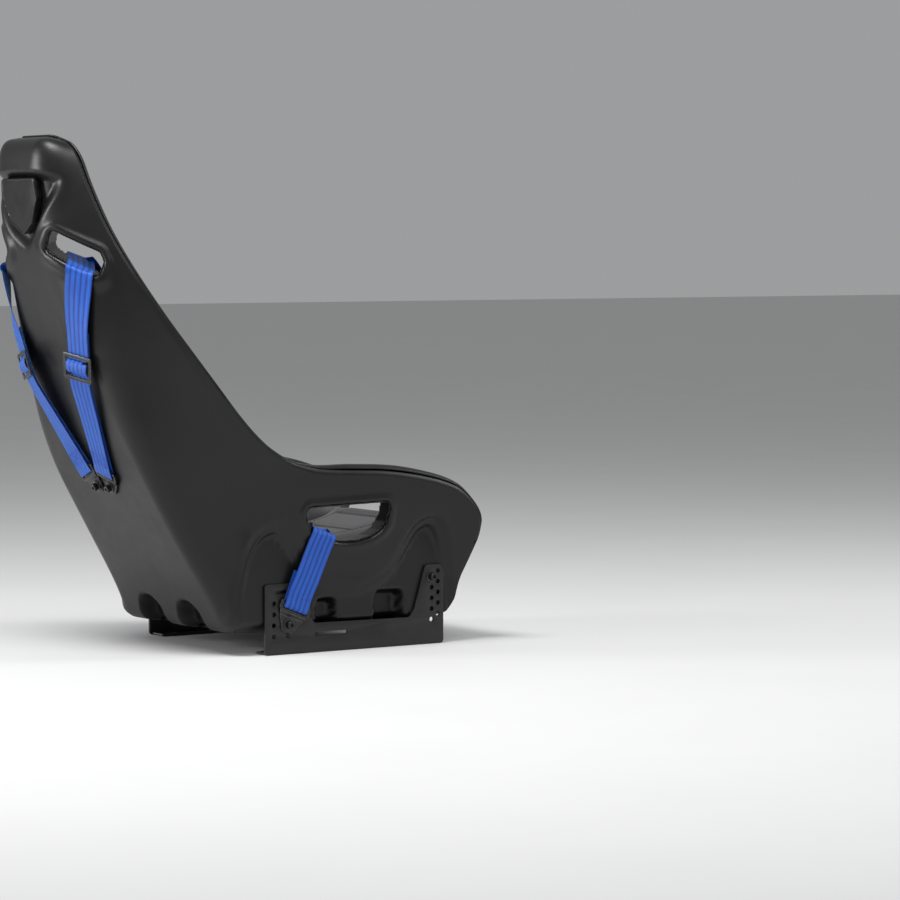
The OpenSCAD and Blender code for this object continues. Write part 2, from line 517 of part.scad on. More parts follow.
lap_left = [[lp(92, 3), wd_l], [lp(62, 2.4), wd_l], [lp(44, 2.2), wd_l], [lp(36, 2.2), wd_l], [lp(28.5, 2.2), wd_l],
    [lp(26.5, 3.5), wd_l], [lp(26.5, 7.5), wd_l], [lp(28.5, 8.8), wd_l], [lp(36, 8.8), wd_l], [lp(44, 9.2), wd_l],
    [lp(70, 11), wd_l], [lp(110, 15), wd_l], [lp(142, 19), wd_l], [lp(158, 22), wd_l],
    [lp(168, 23), wd_l], [lp(173, 17), wd_l], [lp(173, 6), [0, 0.92, 0.4]], [lp(173, -12), [0, 0.94, 0.3]],
    [[172, -82, 209], [0, 0.98, 0.15]], [[160, -98, 202], [0, 1, 0]], [run_l(146), l_wid * -1],
    [run_l(124), l_wid * -1], [run_l(90), l_wid * -1], [run_l(64), l_wid * -1], [run_l(54), l_wid * -1]];
module lap_l() { band(route(lap_left, 2), web_body, web_t); }
module lap_strap_left() color(web_rgb) lap_l();
module lap_strap_right() color(web_rgb) right() lap_l();

// tongue with the plate that the webbing is clamped on; the run starts at the given radius
cam_at = 16;
module tongue(r0) {
    difference() {
        union() {
            linear_extrude(3) offset(r = 3) polygon([[20, -5], [20, 5], [r0 - 5, 6.5], [r0 + 3, 27], [r0 + 26, 27], [r0 + 26, -27], [r0 + 3, -27], [r0 - 5, -6.5]]);
            for (s = [-1, 1]) translate([r0 + cam_at - 8, s * 27 + (s > 0 ? 0.2 : -3.2), 0]) cube([16, 3, 15]);
        }
        translate([25, 0, -1]) cylinder(d = 6, h = 6, $fn = 24);
        for (s = [-1, 1]) translate([r0 + cam_at, s * 30, 10.5]) rotate([90, 0, 0]) cylinder(r = 2.05, h = 10, center = true, $fn = 24);
    }
}
module cam_bar(r0) {
    translate([r0 + cam_at, 0, 10.5]) rotate([90, 0, 0]) {
        cylinder(r = 3.4, h = 53.6, center = true, $fn = 28);
        cylinder(r = 2, h = 60, center = true, $fn = 24);
    }
}
module at_shoulder() { translate([buckle_c[0], buckle_c[1], buckle_c[2] + tongue_z]) rotate([0, 0, atan2(s_dir[1], s_dir[0])]) children(); }
module at_lap() { translate([buckle_c[0], buckle_c[1], buckle_c[2] + tongue_z]) rotate([0, 0, atan2(l_dir[1], l_dir[0])]) children(); }
s_r0 = 72;
l_r0 = 46;
module shoulder_tongue_left() color([0.55, 0.56, 0.58]) at_shoulder() tongue(s_r0);
module shoulder_tongue_right() color([0.55, 0.56, 0.58]) right() at_shoulder() tongue(s_r0);
module lap_tongue_left() color([0.55, 0.56, 0.58]) at_lap() tongue(l_r0);
module lap_tongue_right() color([0.55, 0.56, 0.58]) right() at_lap() tongue(l_r0);
module shoulder_cam_left() color([0.06, 0.06, 0.065]) at_shoulder() cam_bar(s_r0);
module shoulder_cam_right() color([0.06, 0.06, 0.065]) right() at_shoulder() cam_bar(s_r0);
module lap_cam_left() color([0.06, 0.06, 0.065]) at_lap() cam_bar(l_r0);
module lap_cam_right() color([0.06, 0.06, 0.065]) right() at_lap() cam_bar(l_r0);

screw_at = [225, 270, 315];
module tongue_gaps() {
    both() {
        at_shoulder() translate([16.4, -9.6, -0.8]) cube([40, 19.2, 4.6]);
        at_lap() translate([16.4, -9.6, -0.8]) cube([40, 19.2, 4.6]);
    }
}
module at_buckle(z) { translate([buckle_c[0], buckle_c[1], buckle_c[2] + z]) children(); }
module buckle_base() color([0.05, 0.05, 0.055]) difference() {
    at_buckle(0) difference() {
        cylinder(d = buckle_d, h = buckle_h, $fn = 64);
        translate([0, 0, 6]) cylinder(d = 12.3, h = 20, $fn = 32);
        for (a = screw_at) rotate([0, 0, a]) translate([26, 0, -1]) {
            cylinder(d = 3.1, h = 30, $fn = 20);
            cylinder(d = 6, h = 3, $fn = 24);
        }
    }
    tongue_gaps();
}
module buckle_cover() color([0.07, 0.07, 0.075]) at_buckle(tongue_z + 4.3) difference() {
    union() {
        cylinder(d = buckle_d, h = 3, $fn = 64);
        translate([0, 0, 3 - eps]) cylinder(d1 = buckle_d, d2 = buckle_d - 4, h = 2, $fn = 64);
    }
    translate([0, 0, -1]) cylinder(d = 12.3, h = 20, $fn = 32);
    for (a = screw_at) rotate([0, 0, a]) translate([26, 0, -1]) cylinder(d = 3.1, h = 4, $fn = 20);
    translate([-buckle_c[0], -buckle_c[1], -buckle_c[2] - tongue_z - 4.3]) both() {
        at_shoulder() translate([25, 0, 3]) cylinder(d = 4.3, h = 20, $fn = 24);
        at_lap() translate([25, 0, 3]) cylinder(d = 4.3, h = 20, $fn = 24);
    }
}
// from below through the base into the cover
module buckle_screws() color([0.1, 0.1, 0.11]) at_buckle(0) for (a = screw_at) rotate([0, 0, a]) translate([26, 0, 0.2]) {
    cylinder(d = 3, h = 18.4, $fn = 20);
    cylinder(d = 5.8, h = 1.6, $fn = 24);
}
module buckle_post() color([0.6, 0.6, 0.62]) at_buckle(6.05) {
    cylinder(d = 12.2, h = 14, $fn = 40);
    cylinder(d = 8, h = 25, $fn = 40);
    translate([0, 0, 25 - eps]) cylinder(d = 11, h = 1.5, $fn = 40);
}
module buckle_knob() color([0.75, 0.1, 0.08]) at_buckle(tongue_z + 9.8) difference() {
    union() {
        cylinder(d = 34, h = 8.6, $fn = 56);
        translate([0, 0, 2]) linear_extrude(6.6) offset(r = 3) offset(r = -3) union() {
            square([knob_d, 13], center = true);
            circle(d = 30, $fn = 56);
        }
    }
    translate([0, 0, -1]) cylinder(d = 8.1, h = 20, $fn = 40);
    translate([0, 0, -1]) cylinder(d = 24, h = 5, $fn = 48);
}
module buckle_spring() color([0.6, 0.6, 0.62]) at_buckle(tongue_z + 10.1) difference() {
    cylinder(d = 22, h = 3, $fn = 48);
    translate([0, 0, -1]) cylinder(d = 17, h = 6, $fn = 48);
}
module latch_pins() color([0.6, 0.6, 0.62]) both() {
    at_shoulder() translate([25, 0, 4.6]) cylinder(d = 4, h = 4.4, $fn = 24);
    at_lap() translate([25, 0, 4.6]) cylinder(d = 4, h = 4.4, $fn = 24);
}

// ---- pads --------------------------------------------------------------------
pad_rgb = [0.06, 0.06, 0.065];
// cushion lying on the inner skin between two stations, softened towards its edges
module cushion(k0, k1, t0, t1, h, n, m, gap) {
    function soft(i, j) = let (a = min(i, n - 1 - i), b = min(j, m - 1 - j))
        h * (a == 0 ? 0.45 : a == 1 ? 0.88 : 1) * (b == 0 ? 0.45 : b == 1 ? 0.88 : 1);
    lo = [for (i = [0:n - 1]) [for (j = [0:m - 1]) let (k = lerp(k0, k1, i / (n - 1)), t = lerp(t0, t1, j / (m - 1)))
        inner_off(k, t, -gap)]];
    hi = [for (i = [0:n - 1]) [for (j = [0:m - 1]) let (k = lerp(k0, k1, i / (n - 1)), t = lerp(t0, t1, j / (m - 1)))
        inner_off(k, t, -gap - soft(i, j))]];
    between(lo, hi);
}
pad_gap = 3.4;
module head_pad() color(pad_rgb) cushion(0.9, 2.6, -0.6, 0.6, head_pad_t, 9, 9, pad_gap);
module back_pad() color(pad_rgb) cushion(3.9, 5.7, -0.53, 0.53, back_pad_t, 11, 9, pad_gap);
module lumbar_pad() color(pad_rgb) cushion(5.85, 7.1, -0.53, 0.53, back_pad_t, 9, 9, pad_gap);
module seat_pad() color(pad_rgb) cushion(8.6, 13.7, -0.53, 0.53, seat_pad_t, 13, 9, pad_gap);
module bolster_l() { cushion(5.2, 7.0, 0.66, 0.94, 20, 8, 6, pad_gap); }
module bolster_pad_left() color(pad_rgb) bolster_l();
module bolster_pad_right() color(pad_rgb) right() bolster_l();
module hook_strips() color([0.09, 0.09, 0.1]) {
    for (q = [[1.2, 2.2], [4.2, 5.4], [6.0, 6.9], [9.6, 12.8]]) for (s = [-1, 1])
        between(grid(1, q[0], q[1], s * 0.22 - 0.05, s * 0.22 + 0.05, 13, 3, -2.2), grid(1, q[0], q[1], s * 0.22 - 0.05, s * 0.22 + 0.05, 13, 3, -0.9));
}
module buckle_pad() color([0.04, 0.04, 0.045]) at_buckle(-4) linear_extrude(3.7) offset(r = 10) square([64, 64], center = true);

outer_shell();
inner_shell();
shoulder_bezel_right();
shoulder_bezel_left();
lap_bezel_right();
lap_bezel_left();
rear_badge();
threaded_inserts();
side_bracket_right();
side_bracket_left();
seat_bolts();
seat_washers();
shoulder_anchor_right();
shoulder_anchor_left();
anchor_bolts();
anchor_washers();
lap_anchor_right();
lap_anchor_left();
shoulder_strap_right();
shoulder_strap_left();
rear_slide_right();
rear_slide_left();
slide_fold_right();
slide_fold_left();
lap_strap_right();
lap_strap_left();
shoulder_tongue_right();
shoulder_tongue_left();
lap_tongue_right();
lap_tongue_left();
shoulder_cam_right();
shoulder_cam_left();
lap_cam_right();
lap_cam_left();
buckle_base();
buckle_cover();
buckle_post();
buckle_knob();
buckle_spring();
buckle_screws();
latch_pins();
buckle_pad();
head_pad();
back_pad();
lumbar_pad();
seat_pad();
bolster_pad_right();
bolster_pad_left();
hook_strips();
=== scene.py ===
import math
import bpy
import bmesh
import numpy as np
from mathutils import Vector, Matrix
from mathutils.bvhtree import BVHTree
from mathutils.kdtree import KDTree


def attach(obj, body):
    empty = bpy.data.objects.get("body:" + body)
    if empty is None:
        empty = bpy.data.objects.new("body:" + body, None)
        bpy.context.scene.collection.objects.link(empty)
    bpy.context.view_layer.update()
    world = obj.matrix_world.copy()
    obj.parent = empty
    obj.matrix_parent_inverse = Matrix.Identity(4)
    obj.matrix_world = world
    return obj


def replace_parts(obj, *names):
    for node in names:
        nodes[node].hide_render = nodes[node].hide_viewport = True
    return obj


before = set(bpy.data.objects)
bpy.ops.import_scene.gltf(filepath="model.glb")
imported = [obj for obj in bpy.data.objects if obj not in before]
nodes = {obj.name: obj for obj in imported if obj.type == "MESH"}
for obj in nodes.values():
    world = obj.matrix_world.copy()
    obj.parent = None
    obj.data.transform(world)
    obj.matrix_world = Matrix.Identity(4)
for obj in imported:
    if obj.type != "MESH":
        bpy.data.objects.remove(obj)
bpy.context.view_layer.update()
mm = 0.001  # drawn in millimetres, kept in metres
print("frame loaded:", len(nodes), "nodes")


# ---------- materials ----------
class Wire:
    # one output socket, with arithmetic
    def __init__(self, finish, socket):
        self.finish, self.socket = finish, socket

    def maths(self, operation, *values):
        return self.finish.node("ShaderNodeMath", {"operation": operation}, values)

    def __add__(self, other): return self.maths("ADD", self, other)
    def __radd__(self, other): return self.maths("ADD", other, self)
    def __sub__(self, other): return self.maths("SUBTRACT", self, other)
    def __rsub__(self, other): return self.maths("SUBTRACT", other, self)
    def __mul__(self, other): return self.maths("MULTIPLY", self, other)
    def __rmul__(self, other): return self.maths("MULTIPLY", other, self)
    def __truediv__(self, other): return self.maths("DIVIDE", self, other)
    def __rtruediv__(self, other): return self.maths("DIVIDE", other, self)
    def __pow__(self, other): return self.maths("POWER", self, other)
    def __neg__(self): return self.maths("MULTIPLY", self, -1.0)
    def sine(self): return self.maths("SINE", self)
    def size(self): return self.maths("ABSOLUTE", self)
    def least(self, other): return self.maths("MINIMUM", self, other)
    def most(self, other): return self.maths("MAXIMUM", self, other)

    def spread(self, low, high, newLow=0.0, newHigh=1.0):
        return self.finish.node("ShaderNodeMapRange", {"clamp": True}, {
            "Value": self, "From Min": low, "From Max": high, "To Min": newLow, "To Max": newHigh})


class Finish:
    # a material and the nodes in it
    def __init__(self, name, colour, roughness, **sockets):
        self.material = bpy.data.materials.new(name)
        self.material.use_nodes = True
        self.tree = self.material.node_tree
        self.shader = self.tree.nodes["Principled BSDF"]
        self.shader.inputs["Base Color"].default_value = (*colour, 1)
        self.shader.inputs["Roughness"].default_value = roughness
        for key, value in sockets.items():
            self.shader.inputs[key.replace("_", " ")].default_value = value
        self.place = self.node("ShaderNodeTexCoord", out="Object")

    def node(self, kind, settings=None, values=(), out=0):
        made = self.tree.nodes.new(kind)
        for key, value in (settings or {}).items():
            if key == "stops":
                while len(made.color_ramp.elements) < len(value):
                    made.color_ramp.elements.new(0.5)
                for element, (at, colour) in zip(made.color_ramp.elements, value):
                    element.position, element.color = at, colour
            else:
                setattr(made, key, value)
        for key, value in (values.items() if isinstance(values, dict) else enumerate(values)):
            if isinstance(value, Wire):
                self.tree.links.new(value.socket, made.inputs[key])
            elif value is not None:
                made.inputs[key].default_value = value
        return Wire(self, made.outputs[out])

    def noise(self, scale, detail=2.0, rough=0.5, place=None):
        return self.node("ShaderNodeTexNoise", None, {
            "Vector": place or self.place, "Scale": scale, "Detail": detail, "Roughness": rough})

    def cells(self, scale, place=None, feature="F1"):
        return self.node("ShaderNodeTexVoronoi", {"feature": feature}, {
            "Vector": place or self.place, "Scale": scale}, out="Distance")

    def blend(self, amount, first, second):
        # colours go through a colour mix
        return self.node("ShaderNodeMix", {"data_type": "RGBA"}, {0: amount, 6: first, 7: second}, out=2)

    def apart(self, vector):
        split = self.node("ShaderNodeSeparateXYZ", None, (vector,))
        return [Wire(self, split.socket.node.outputs[i]) for i in range(3)]

    def feed(self, name, wire):
        self.tree.links.new(wire.socket, self.shader.inputs[name])

    def relief(self, height, distance, strength=1.0):
        bump = self.node("ShaderNodeBump", None, {"Height": height, "Distance": distance,
            "Strength": strength})
        self.feed("Normal", bump)
        return bump


def grey(v, tint=(1, 1, 1)):
    return (v * tint[0], v * tint[1], v * tint[2], 1)


plastic = {"colour": (0.0052, 0.0052, 0.0056), "roughness": 0.36, "grain": 900, "grainDepth": 0.00015,
           "specular": 0.36}


def mouldedPlastic(name, value, grainScale, grainDepth, roughness, glossy=0.0):
    # fine pebbled mould grain, cloudy gloss, a few rub marks
    f = Finish(name, (value, value, value * 1.06), roughness)
    f.shader.inputs["Specular IOR Level"].default_value = plastic["specular"]
    pebble = f.cells(grainScale, feature="SMOOTH_F1")
    fine = f.noise(grainScale * 2.3, 2.0, 0.6)
    cloud = f.noise(5.5, 3.0, 0.55)
    patch = f.noise(38.0, 3.0, 0.6)
    scuff = f.noise(170.0, 2.0, 0.7, f.node("ShaderNodeMapping", None, {0: f.place, 3: (1, 0.16, 0.5)}))
    marks = scuff.spread(0.66, 0.78) * patch.spread(0.5, 0.7)
    f.feed("Base Color", f.blend(cloud.spread(0.35, 0.7) * 0.6 + marks * 0.25, grey(value * 0.82),
                                 grey(value * 1.5, (1, 1, 1.05))))
    f.feed("Roughness", cloud.spread(0.3, 0.7, roughness - 0.05, roughness + 0.06) - marks * 0.06
           + patch.spread(0.3, 0.7, -0.03, 0.03) - glossy)
    f.relief(pebble * 0.75 + fine * 0.35, grainDepth, 0.85)
    return f.material


def powderCoat(name, value, roughness):
    # satin black coat on steel, slight orange peel
    f = Finish(name, (value, value, value * 1.05), roughness)
    f.shader.inputs["Specular IOR Level"].default_value = 0.45
    peel = f.noise(900, 2.0, 0.5)
    dust = f.noise(2600, 1.0, 0.5)
    cloud = f.noise(16, 3.0, 0.55)
    f.feed("Base Color", f.blend(cloud.spread(0.35, 0.7), grey(value * 0.8), grey(value * 1.35)))
    f.feed("Roughness", cloud.spread(0.3, 0.7, roughness - 0.05, roughness + 0.07))
    f.relief(peel + dust * 0.35, 0.00007, 0.8)
    return f.material


def wornAndHighlitEdge(name, value, roughness):
    # edge finish much lighter than the coat: painted highlight along folded and cut edges, together with some
    # real wear where the coat has thinned
    f = Finish(name, (value, value, value), roughness, Metallic=0.35)
    worn = f.noise(240, 3.0, 0.65)
    f.feed("Base Color", f.blend(worn.spread(0.42, 0.66), grey(value * 0.4), grey(value * 1.7, (1, 1, 1.03))))
    f.feed("Roughness", worn.spread(0.3, 0.7, roughness + 0.12, roughness - 0.06))
    f.relief(worn, 0.00005, 0.6)
    return f.material


def plated(name, colour, roughness, brush=(1, 1, 22)):
    # plated or turned metal with fine brush lines
    f = Finish(name, colour, roughness, Metallic=1.0)
    lines = f.noise(420, 3.0, 0.6, f.node("ShaderNodeMapping", None, {0: f.place, 3: brush}))
    cloud = f.noise(60, 3.0, 0.5)
    f.feed("Base Color", f.blend(cloud.spread(0.35, 0.7), (*[c * 0.82 for c in colour], 1),
                                 (*[min(1, c * 1.08) for c in colour], 1)))
    f.feed("Roughness", lines.spread(0.3, 0.7, roughness - 0.06, roughness + 0.09))
    f.relief(lines, 0.00003, 0.5)
    return f.material


# deep is a darker blue that paints shade into the grooves between ribs and also colours the selvedge; lit
# paints a highlight on the rib crowns
webbing = {"width": 0.049, "ribs": 5, "colour": (0.002, 0.072, 0.46), "deep": (0.0008, 0.018, 0.15),
           "lit": (0.012, 0.18, 0.78), "pick": 0.0016, "yarn": 0.0011}


def wovenPolyester(name):
    # u across and v along the strap, both in metres
    f = Finish(name, webbing["colour"], 0.42, Sheen_Weight=0.25, Sheen_Roughness=0.4)
    f.shader.inputs["Sheen Tint"].default_value = (0.2, 0.55, 1.0, 1)
    f.shader.inputs["Specular IOR Level"].default_value = 0.45
    uv = f.node("ShaderNodeUVMap", {"uv_map": "strapUv"})
    u, v, _ = f.apart(uv)
    warp = (u * (math.pi / webbing["yarn"])).sine().size()
    slant = ((v + u.size() * 0.9) * (math.pi / webbing["pick"])).sine().size()
    rib = (u * (math.pi * webbing["ribs"] / webbing["width"])).maths("COSINE", u * (
        math.pi * webbing["ribs"] / webbing["width"])).size()
    selvedge = u.size().spread(webbing["width"] * 0.455, webbing["width"] * 0.49)
    long = f.node("ShaderNodeCombineXYZ", None, (u * 520.0, v * 26.0, 0.0))
    streak = f.noise(1.0, 3.0, 0.6, long)
    fuzz = f.noise(2400, 2.0, 0.6)
    # tone follows the ribs (painted highlight on the crowns, painted shade in the grooves) plus the real
    # weave and streaks
    tone = rib.spread(0.05, 0.75) * 0.55 + slant * 0.2 + streak.spread(0.3, 0.7) * 0.25
    base = f.blend(tone, (*webbing["deep"], 1), (*webbing["colour"], 1))
    base = f.blend((tone - 0.62).most(0.0) * 1.1, base, (*webbing["lit"], 1))
    base = f.blend(selvedge * 0.55, base, (*webbing["deep"], 1))
    f.feed("Base Color", base)
    f.feed("Roughness", (slant * 0.12 + warp * 0.08 + 0.34).least(0.7))
    f.relief(slant * 0.55 + warp * 0.5 + fuzz * 0.25, 0.00022, 0.8)
    return f.material


def knitFabric(name, value):
    # black spacer knit over foam: small hexagonal eyes
    f = Finish(name, (value, value, value * 1.05), 0.82, Sheen_Weight=0.35, Sheen_Roughness=0.5)
    f.shader.inputs["Specular IOR Level"].default_value = 0.25
    eyes = f.cells(430)
    yarn = f.noise(1900, 2.0, 0.6)
    cloud = f.noise(14, 4.0, 0.6)
    # eye centres are painted darker than the yarn ridges: painted shade in the open cells, following the bump
    open_ = eyes.spread(0.12, 0.42)
    f.feed("Base Color", f.blend(open_ * 0.7 + yarn * 0.3, grey(value * 0.35), grey(value * 1.5, (1, 1,
        1.06))))
    f.feed("Roughness", cloud.spread(0.3, 0.7, 0.74, 0.92))
    f.relief(open_ * 0.8 + yarn * 0.45, 0.0005, 0.9)
    return f.material


def suedeFabric(name, value):
    f = Finish(name, (value, value, value), 0.88, Sheen_Weight=0.6, Sheen_Roughness=0.35)
    f.shader.inputs["Specular IOR Level"].default_value = 0.2
    nap = f.noise(1500, 3.0, 0.7)
    brushed = f.noise(22, 4.0, 0.62, f.node("ShaderNodeMapping", None, {0: f.place, 3: (1.6, 1, 0.7)}))
    f.feed("Base Color", f.blend(brushed.spread(0.36, 0.66), grey(value * 0.6), grey(value * 1.7, (1, 1,
        1.04))))
    f.feed("Roughness", brushed.spread(0.3, 0.7, 0.8, 0.95))
    f.relief(nap, 0.00028, 0.8)
    return f.material


def threadFinish(name, colour):
    f = Finish(name, colour, 0.55, Sheen_Weight=0.3)
    twist = f.noise(3000, 1.0, 0.5)
    f.feed("Base Color", f.blend(twist, (*[c * 0.6 for c in colour], 1), (*[min(1,
        c * 1.3) for c in colour], 1)))
    f.relief(twist, 0.0001, 0.6)
    return f.material


def hookTape(name):
    f = Finish(name, (0.02, 0.02, 0.02), 0.8)
    hooks = f.cells(900)
    # hook tops painted lighter and the gaps darker: painted highlight and shade following the bump
    f.feed("Base Color", f.blend(hooks.spread(0.1, 0.4), grey(0.035), grey(0.008)))
    f.relief(1.0 - hooks, 0.0006, 1.0)
    return f.material


def redPlastic(name):
    f = Finish(name, (0.42, 0.012, 0.01), 0.3)
    cloud = f.noise(40, 3.0, 0.5)
    f.feed("Base Color", f.blend(cloud.spread(0.35, 0.7), (0.36, 0.009, 0.008, 1), (0.5, 0.02, 0.014, 1)))
    f.feed("Roughness", cloud.spread(0.3, 0.7, 0.26, 0.38))
    f.relief(f.noise(1800, 2.0, 0.5), 0.00004, 0.6)
    return f.material


finishes = {
    "shell": mouldedPlastic("grainedShell", plastic["colour"][0], plastic["grain"], plastic["grainDepth"],
                            plastic["roughness"]),
    "liner": mouldedPlastic("grainedLiner", 0.0072, 820, 0.00018, 0.40),
    # the rolled rim gets about twice the shell's base colour: painted highlight along the rim
    "rim": mouldedPlastic("grainedRim", 0.011, 620, 0.00034, 0.33, 0.03),
    "trim": mouldedPlastic("smoothTrim", 0.008, 1500, 0.00006, 0.28),
    "badge": mouldedPlastic("badgePlate", 0.006, 1900, 0.00004, 0.34),
    "steel": powderCoat("blackCoat", 0.009, 0.40),
    # the steel and bolt edge finishes are painted edge highlight with some wear
    "steelEdge": wornAndHighlitEdge("coatEdge", 0.10, 0.30),
    "bolt": powderCoat("blackOxide", 0.008, 0.30),
    "boltEdge": wornAndHighlitEdge("oxideEdge", 0.16, 0.26),
    "brass": plated("turnedBrass", (0.62, 0.47, 0.22), 0.3),
    "bright": plated("platedSteel", (0.60, 0.61, 0.63), 0.26),
    # lighter, glossier plating for the bevelled edges: painted edge highlight
    "brightEdge": plated("platedEdge", (0.74, 0.75, 0.77), 0.2),
    "web": wovenPolyester("blueWebbing"),
    "knit": knitFabric("blackKnit", 0.016),
    "suede": suedeFabric("blackSuede", 0.018),
    "thread": threadFinish("greyThread", (0.09, 0.09, 0.10)),
    "blueThread": threadFinish("blueThread", (0.006, 0.06, 0.42)),
    "hook": hookTape("hookTape"),
    "red": redPlastic("redKnob"),
}
print("finishes made:", len(finishes))


# ---------- shell lines, from the head (0) to the front lip (15) ----------
shell = {
    "backLine": [(362, 889), (394, 883), (402, 822), (389, 722), (356, 605), (316, 490), (262, 345), (185,
        205),
                 (112, 84), (97, 40), (62, 36), (-110, 36), (-300, 36), (-345, 50), (-374, 120), (-392, 172)],
    "rimLine": [(350, 885, 60), (342, 873, 106), (331, 806, 131), (304, 722, 158), (246, 605, 209),
                (165, 488, 243), (76, 378, 247), (8, 334, 241), (-40, 322, 240), (-70, 318, 240),
                (-100, 316, 240), (-215, 311, 240), (-335, 286, 239), (-376, 254, 237), (-399, 222, 234),
                (-398, 196, 226)],
    "seatLine": [(337, 880), (347, 855), (353, 800), (343, 715), (309, 605), (263, 490), (206, 360), (142,
        262),
                 (66, 180), (20, 152), (-30, 142), (-150, 142), (-280, 165), (-330, 182), (-362, 198),
                 (-378, 206)],
    "backFlat": [(56, 8), (86, 32), (90, 46), (100, 60), (122, 64), (148, 42), (174, 24), (173, 26), (184,
        28),
                 (190, 28), (190, 28), (190, 28), (190, 28), (194, 28), (208, 20), (222, 8)],
    "seatFlat": [(31, 8), (58, 28), (68, 40), (82, 50), (106, 60), (130, 66), (142, 70), (150, 72), (154, 72),
                 (156, 72), (158, 72), (160, 70), (164, 60), (170, 40), (182, 20), (190, 14)],
    "skin": 3.2, "rimWidth": 28, "bulge": [(0, 6), (0.75, 9.5), (1.5, 13), (2.5, 13), (5.5, 5), (7.2, 5),
        (10, 13), (11, 13), (13, 7)],
    "recess": [(97, -60), (97, 31), (92, 99), (76, 172), (50, 214), (12, 227), (-15, 208), (-39, 164), (-89,
        124),
               (-140, 104), (-213, 127), (-245, 178), (-266, 212), (-297, 226), (-322, 213), (-338, 165),
               (-348, 90), (-356, -60)],
    "recessFace": 200.3, "recessWall": 207.5, "sidePockets": [(-94, 21, 92, 26), (-224, 30, 99, 28)],
    "rearPockets": (68, 42, 88, 32), "hollow": [(-104, 832), (104, 832), (112, 800), (66, 744), (14, 700),
        (-14, 700),
                                                (-66, 744), (-112, 800)], "hollowDepth": 15,
}
last = 15
shell["seatRim"] = [(336, 880.5, 34)] + [(y - 2, z - 2, w - shell["rimWidth"]) for y, z, w in
                                           shell["rimLine"][1:-1]] + [(-388, 203, 203)]


def step(v):
    v = np.clip(v, 0, 1)
    return v * v * (3 - 2 * v)


def mix(a, b, f):
    return a + (b - a) * f


def unit(v):
    v = np.asarray(v, float)
    return v / np.maximum(np.linalg.norm(v, axis=-1, keepdims=True), 1e-12)


def along(points, k):
    # quadratic B-spline through the middles of the control points
    c, k = np.asarray(points, float), np.asarray(k, float)
    n = len(c)
    i = np.clip(np.floor(k + 0.5).astype(int), 0, n - 1)
    u = (k - i + 0.5)[..., None]
    p1 = c[i]
    a = np.where((i == 0)[..., None], p1, (c[np.maximum(i - 1, 0)] + p1) / 2)
    b = np.where((i == n - 1)[..., None], p1, (p1 + c[np.minimum(i + 1, n - 1)]) / 2)
    middle = (1 - u) ** 2 * a + 2 * u * (1 - u) * p1 + u ** 2 * b
    return np.where((i == 0)[..., None], p1 + (b - p1) * np.maximum(0, 2 * (u - 0.5)),
                    np.where((i == n - 1)[..., None], a + (p1 - a) * np.minimum(1, 2 * u), middle))


def section(k, t, middle, rim, flat):
    # across the shell: flat back, rounded corner, side wall out to the rim
    s, r, f, a = along(middle, k), along(rim, k), along(flat, k), np.abs(t)
    d = np.hypot(r[..., 0] - s[..., 0], r[..., 1] - s[..., 1])
    w, corner = f[..., 0], f[..., 1]
    q, turn = np.minimum(0.75, corner / np.maximum(d, 1)), np.minimum(corner, w * 0.8)
    u, v = np.clip((a - 0.4) / 0.32, 0, 1), np.clip((a - 0.72) / 0.28, 0, 1)
    cx = w + (r[..., 2] - w) * q
    x = np.where(a < 0.4, (w - turn) * a / 0.4, np.where(
        a < 0.72, (1 - u) ** 2 * (w - turn) + 2 * u * (1 - u) * w + u * u * cx, cx + (r[..., 2] - cx) * v))
    g = np.where(a < 0.4, 0, np.where(a < 0.72, u * u * q, q + (1 - q) * v))
    return np.stack([np.sign(t) * x, mix(s[..., 0], r[..., 0], g), mix(s[..., 1], r[..., 1], g)], -1)


def polyDistance(px, py, poly):
    # distance to a closed outline, negative inside
    best, inside = np.full(np.shape(px), 1e9), np.zeros(np.shape(px), bool)
    for (ax, ay), (bx, by) in zip(poly, list(poly[1:]) + [poly[0]]):
        ex, ey = bx - ax, by - ay
        f = np.clip(((px - ax) * ex + (py - ay) * ey) / (ex * ex + ey * ey + 1e-12), 0, 1)
        best = np.minimum(best, np.hypot(px - ax - ex * f, py - ay - ey * f))
        crosses = ((ay > py) != (by > py)) & (
            px < (bx - ax) * (py - ay) / ((by - ay) if by != ay else 1e-9) + ax)
        inside ^= crosses
    return np.where(inside, -best, best)


def rounded(poly, times=2):
    # cuts the corners of a closed outline
    for _ in range(times):
        poly = [p for a, b in zip(poly, poly[1:] + [poly[0]]) for p in (
            (a[0] * .75 + b[0] * .25, a[1] * .75 + b[1] * .25), (a[0] * .25 + b[0] * .75,
                a[1] * .25 + b[1] * .75))]
    return poly


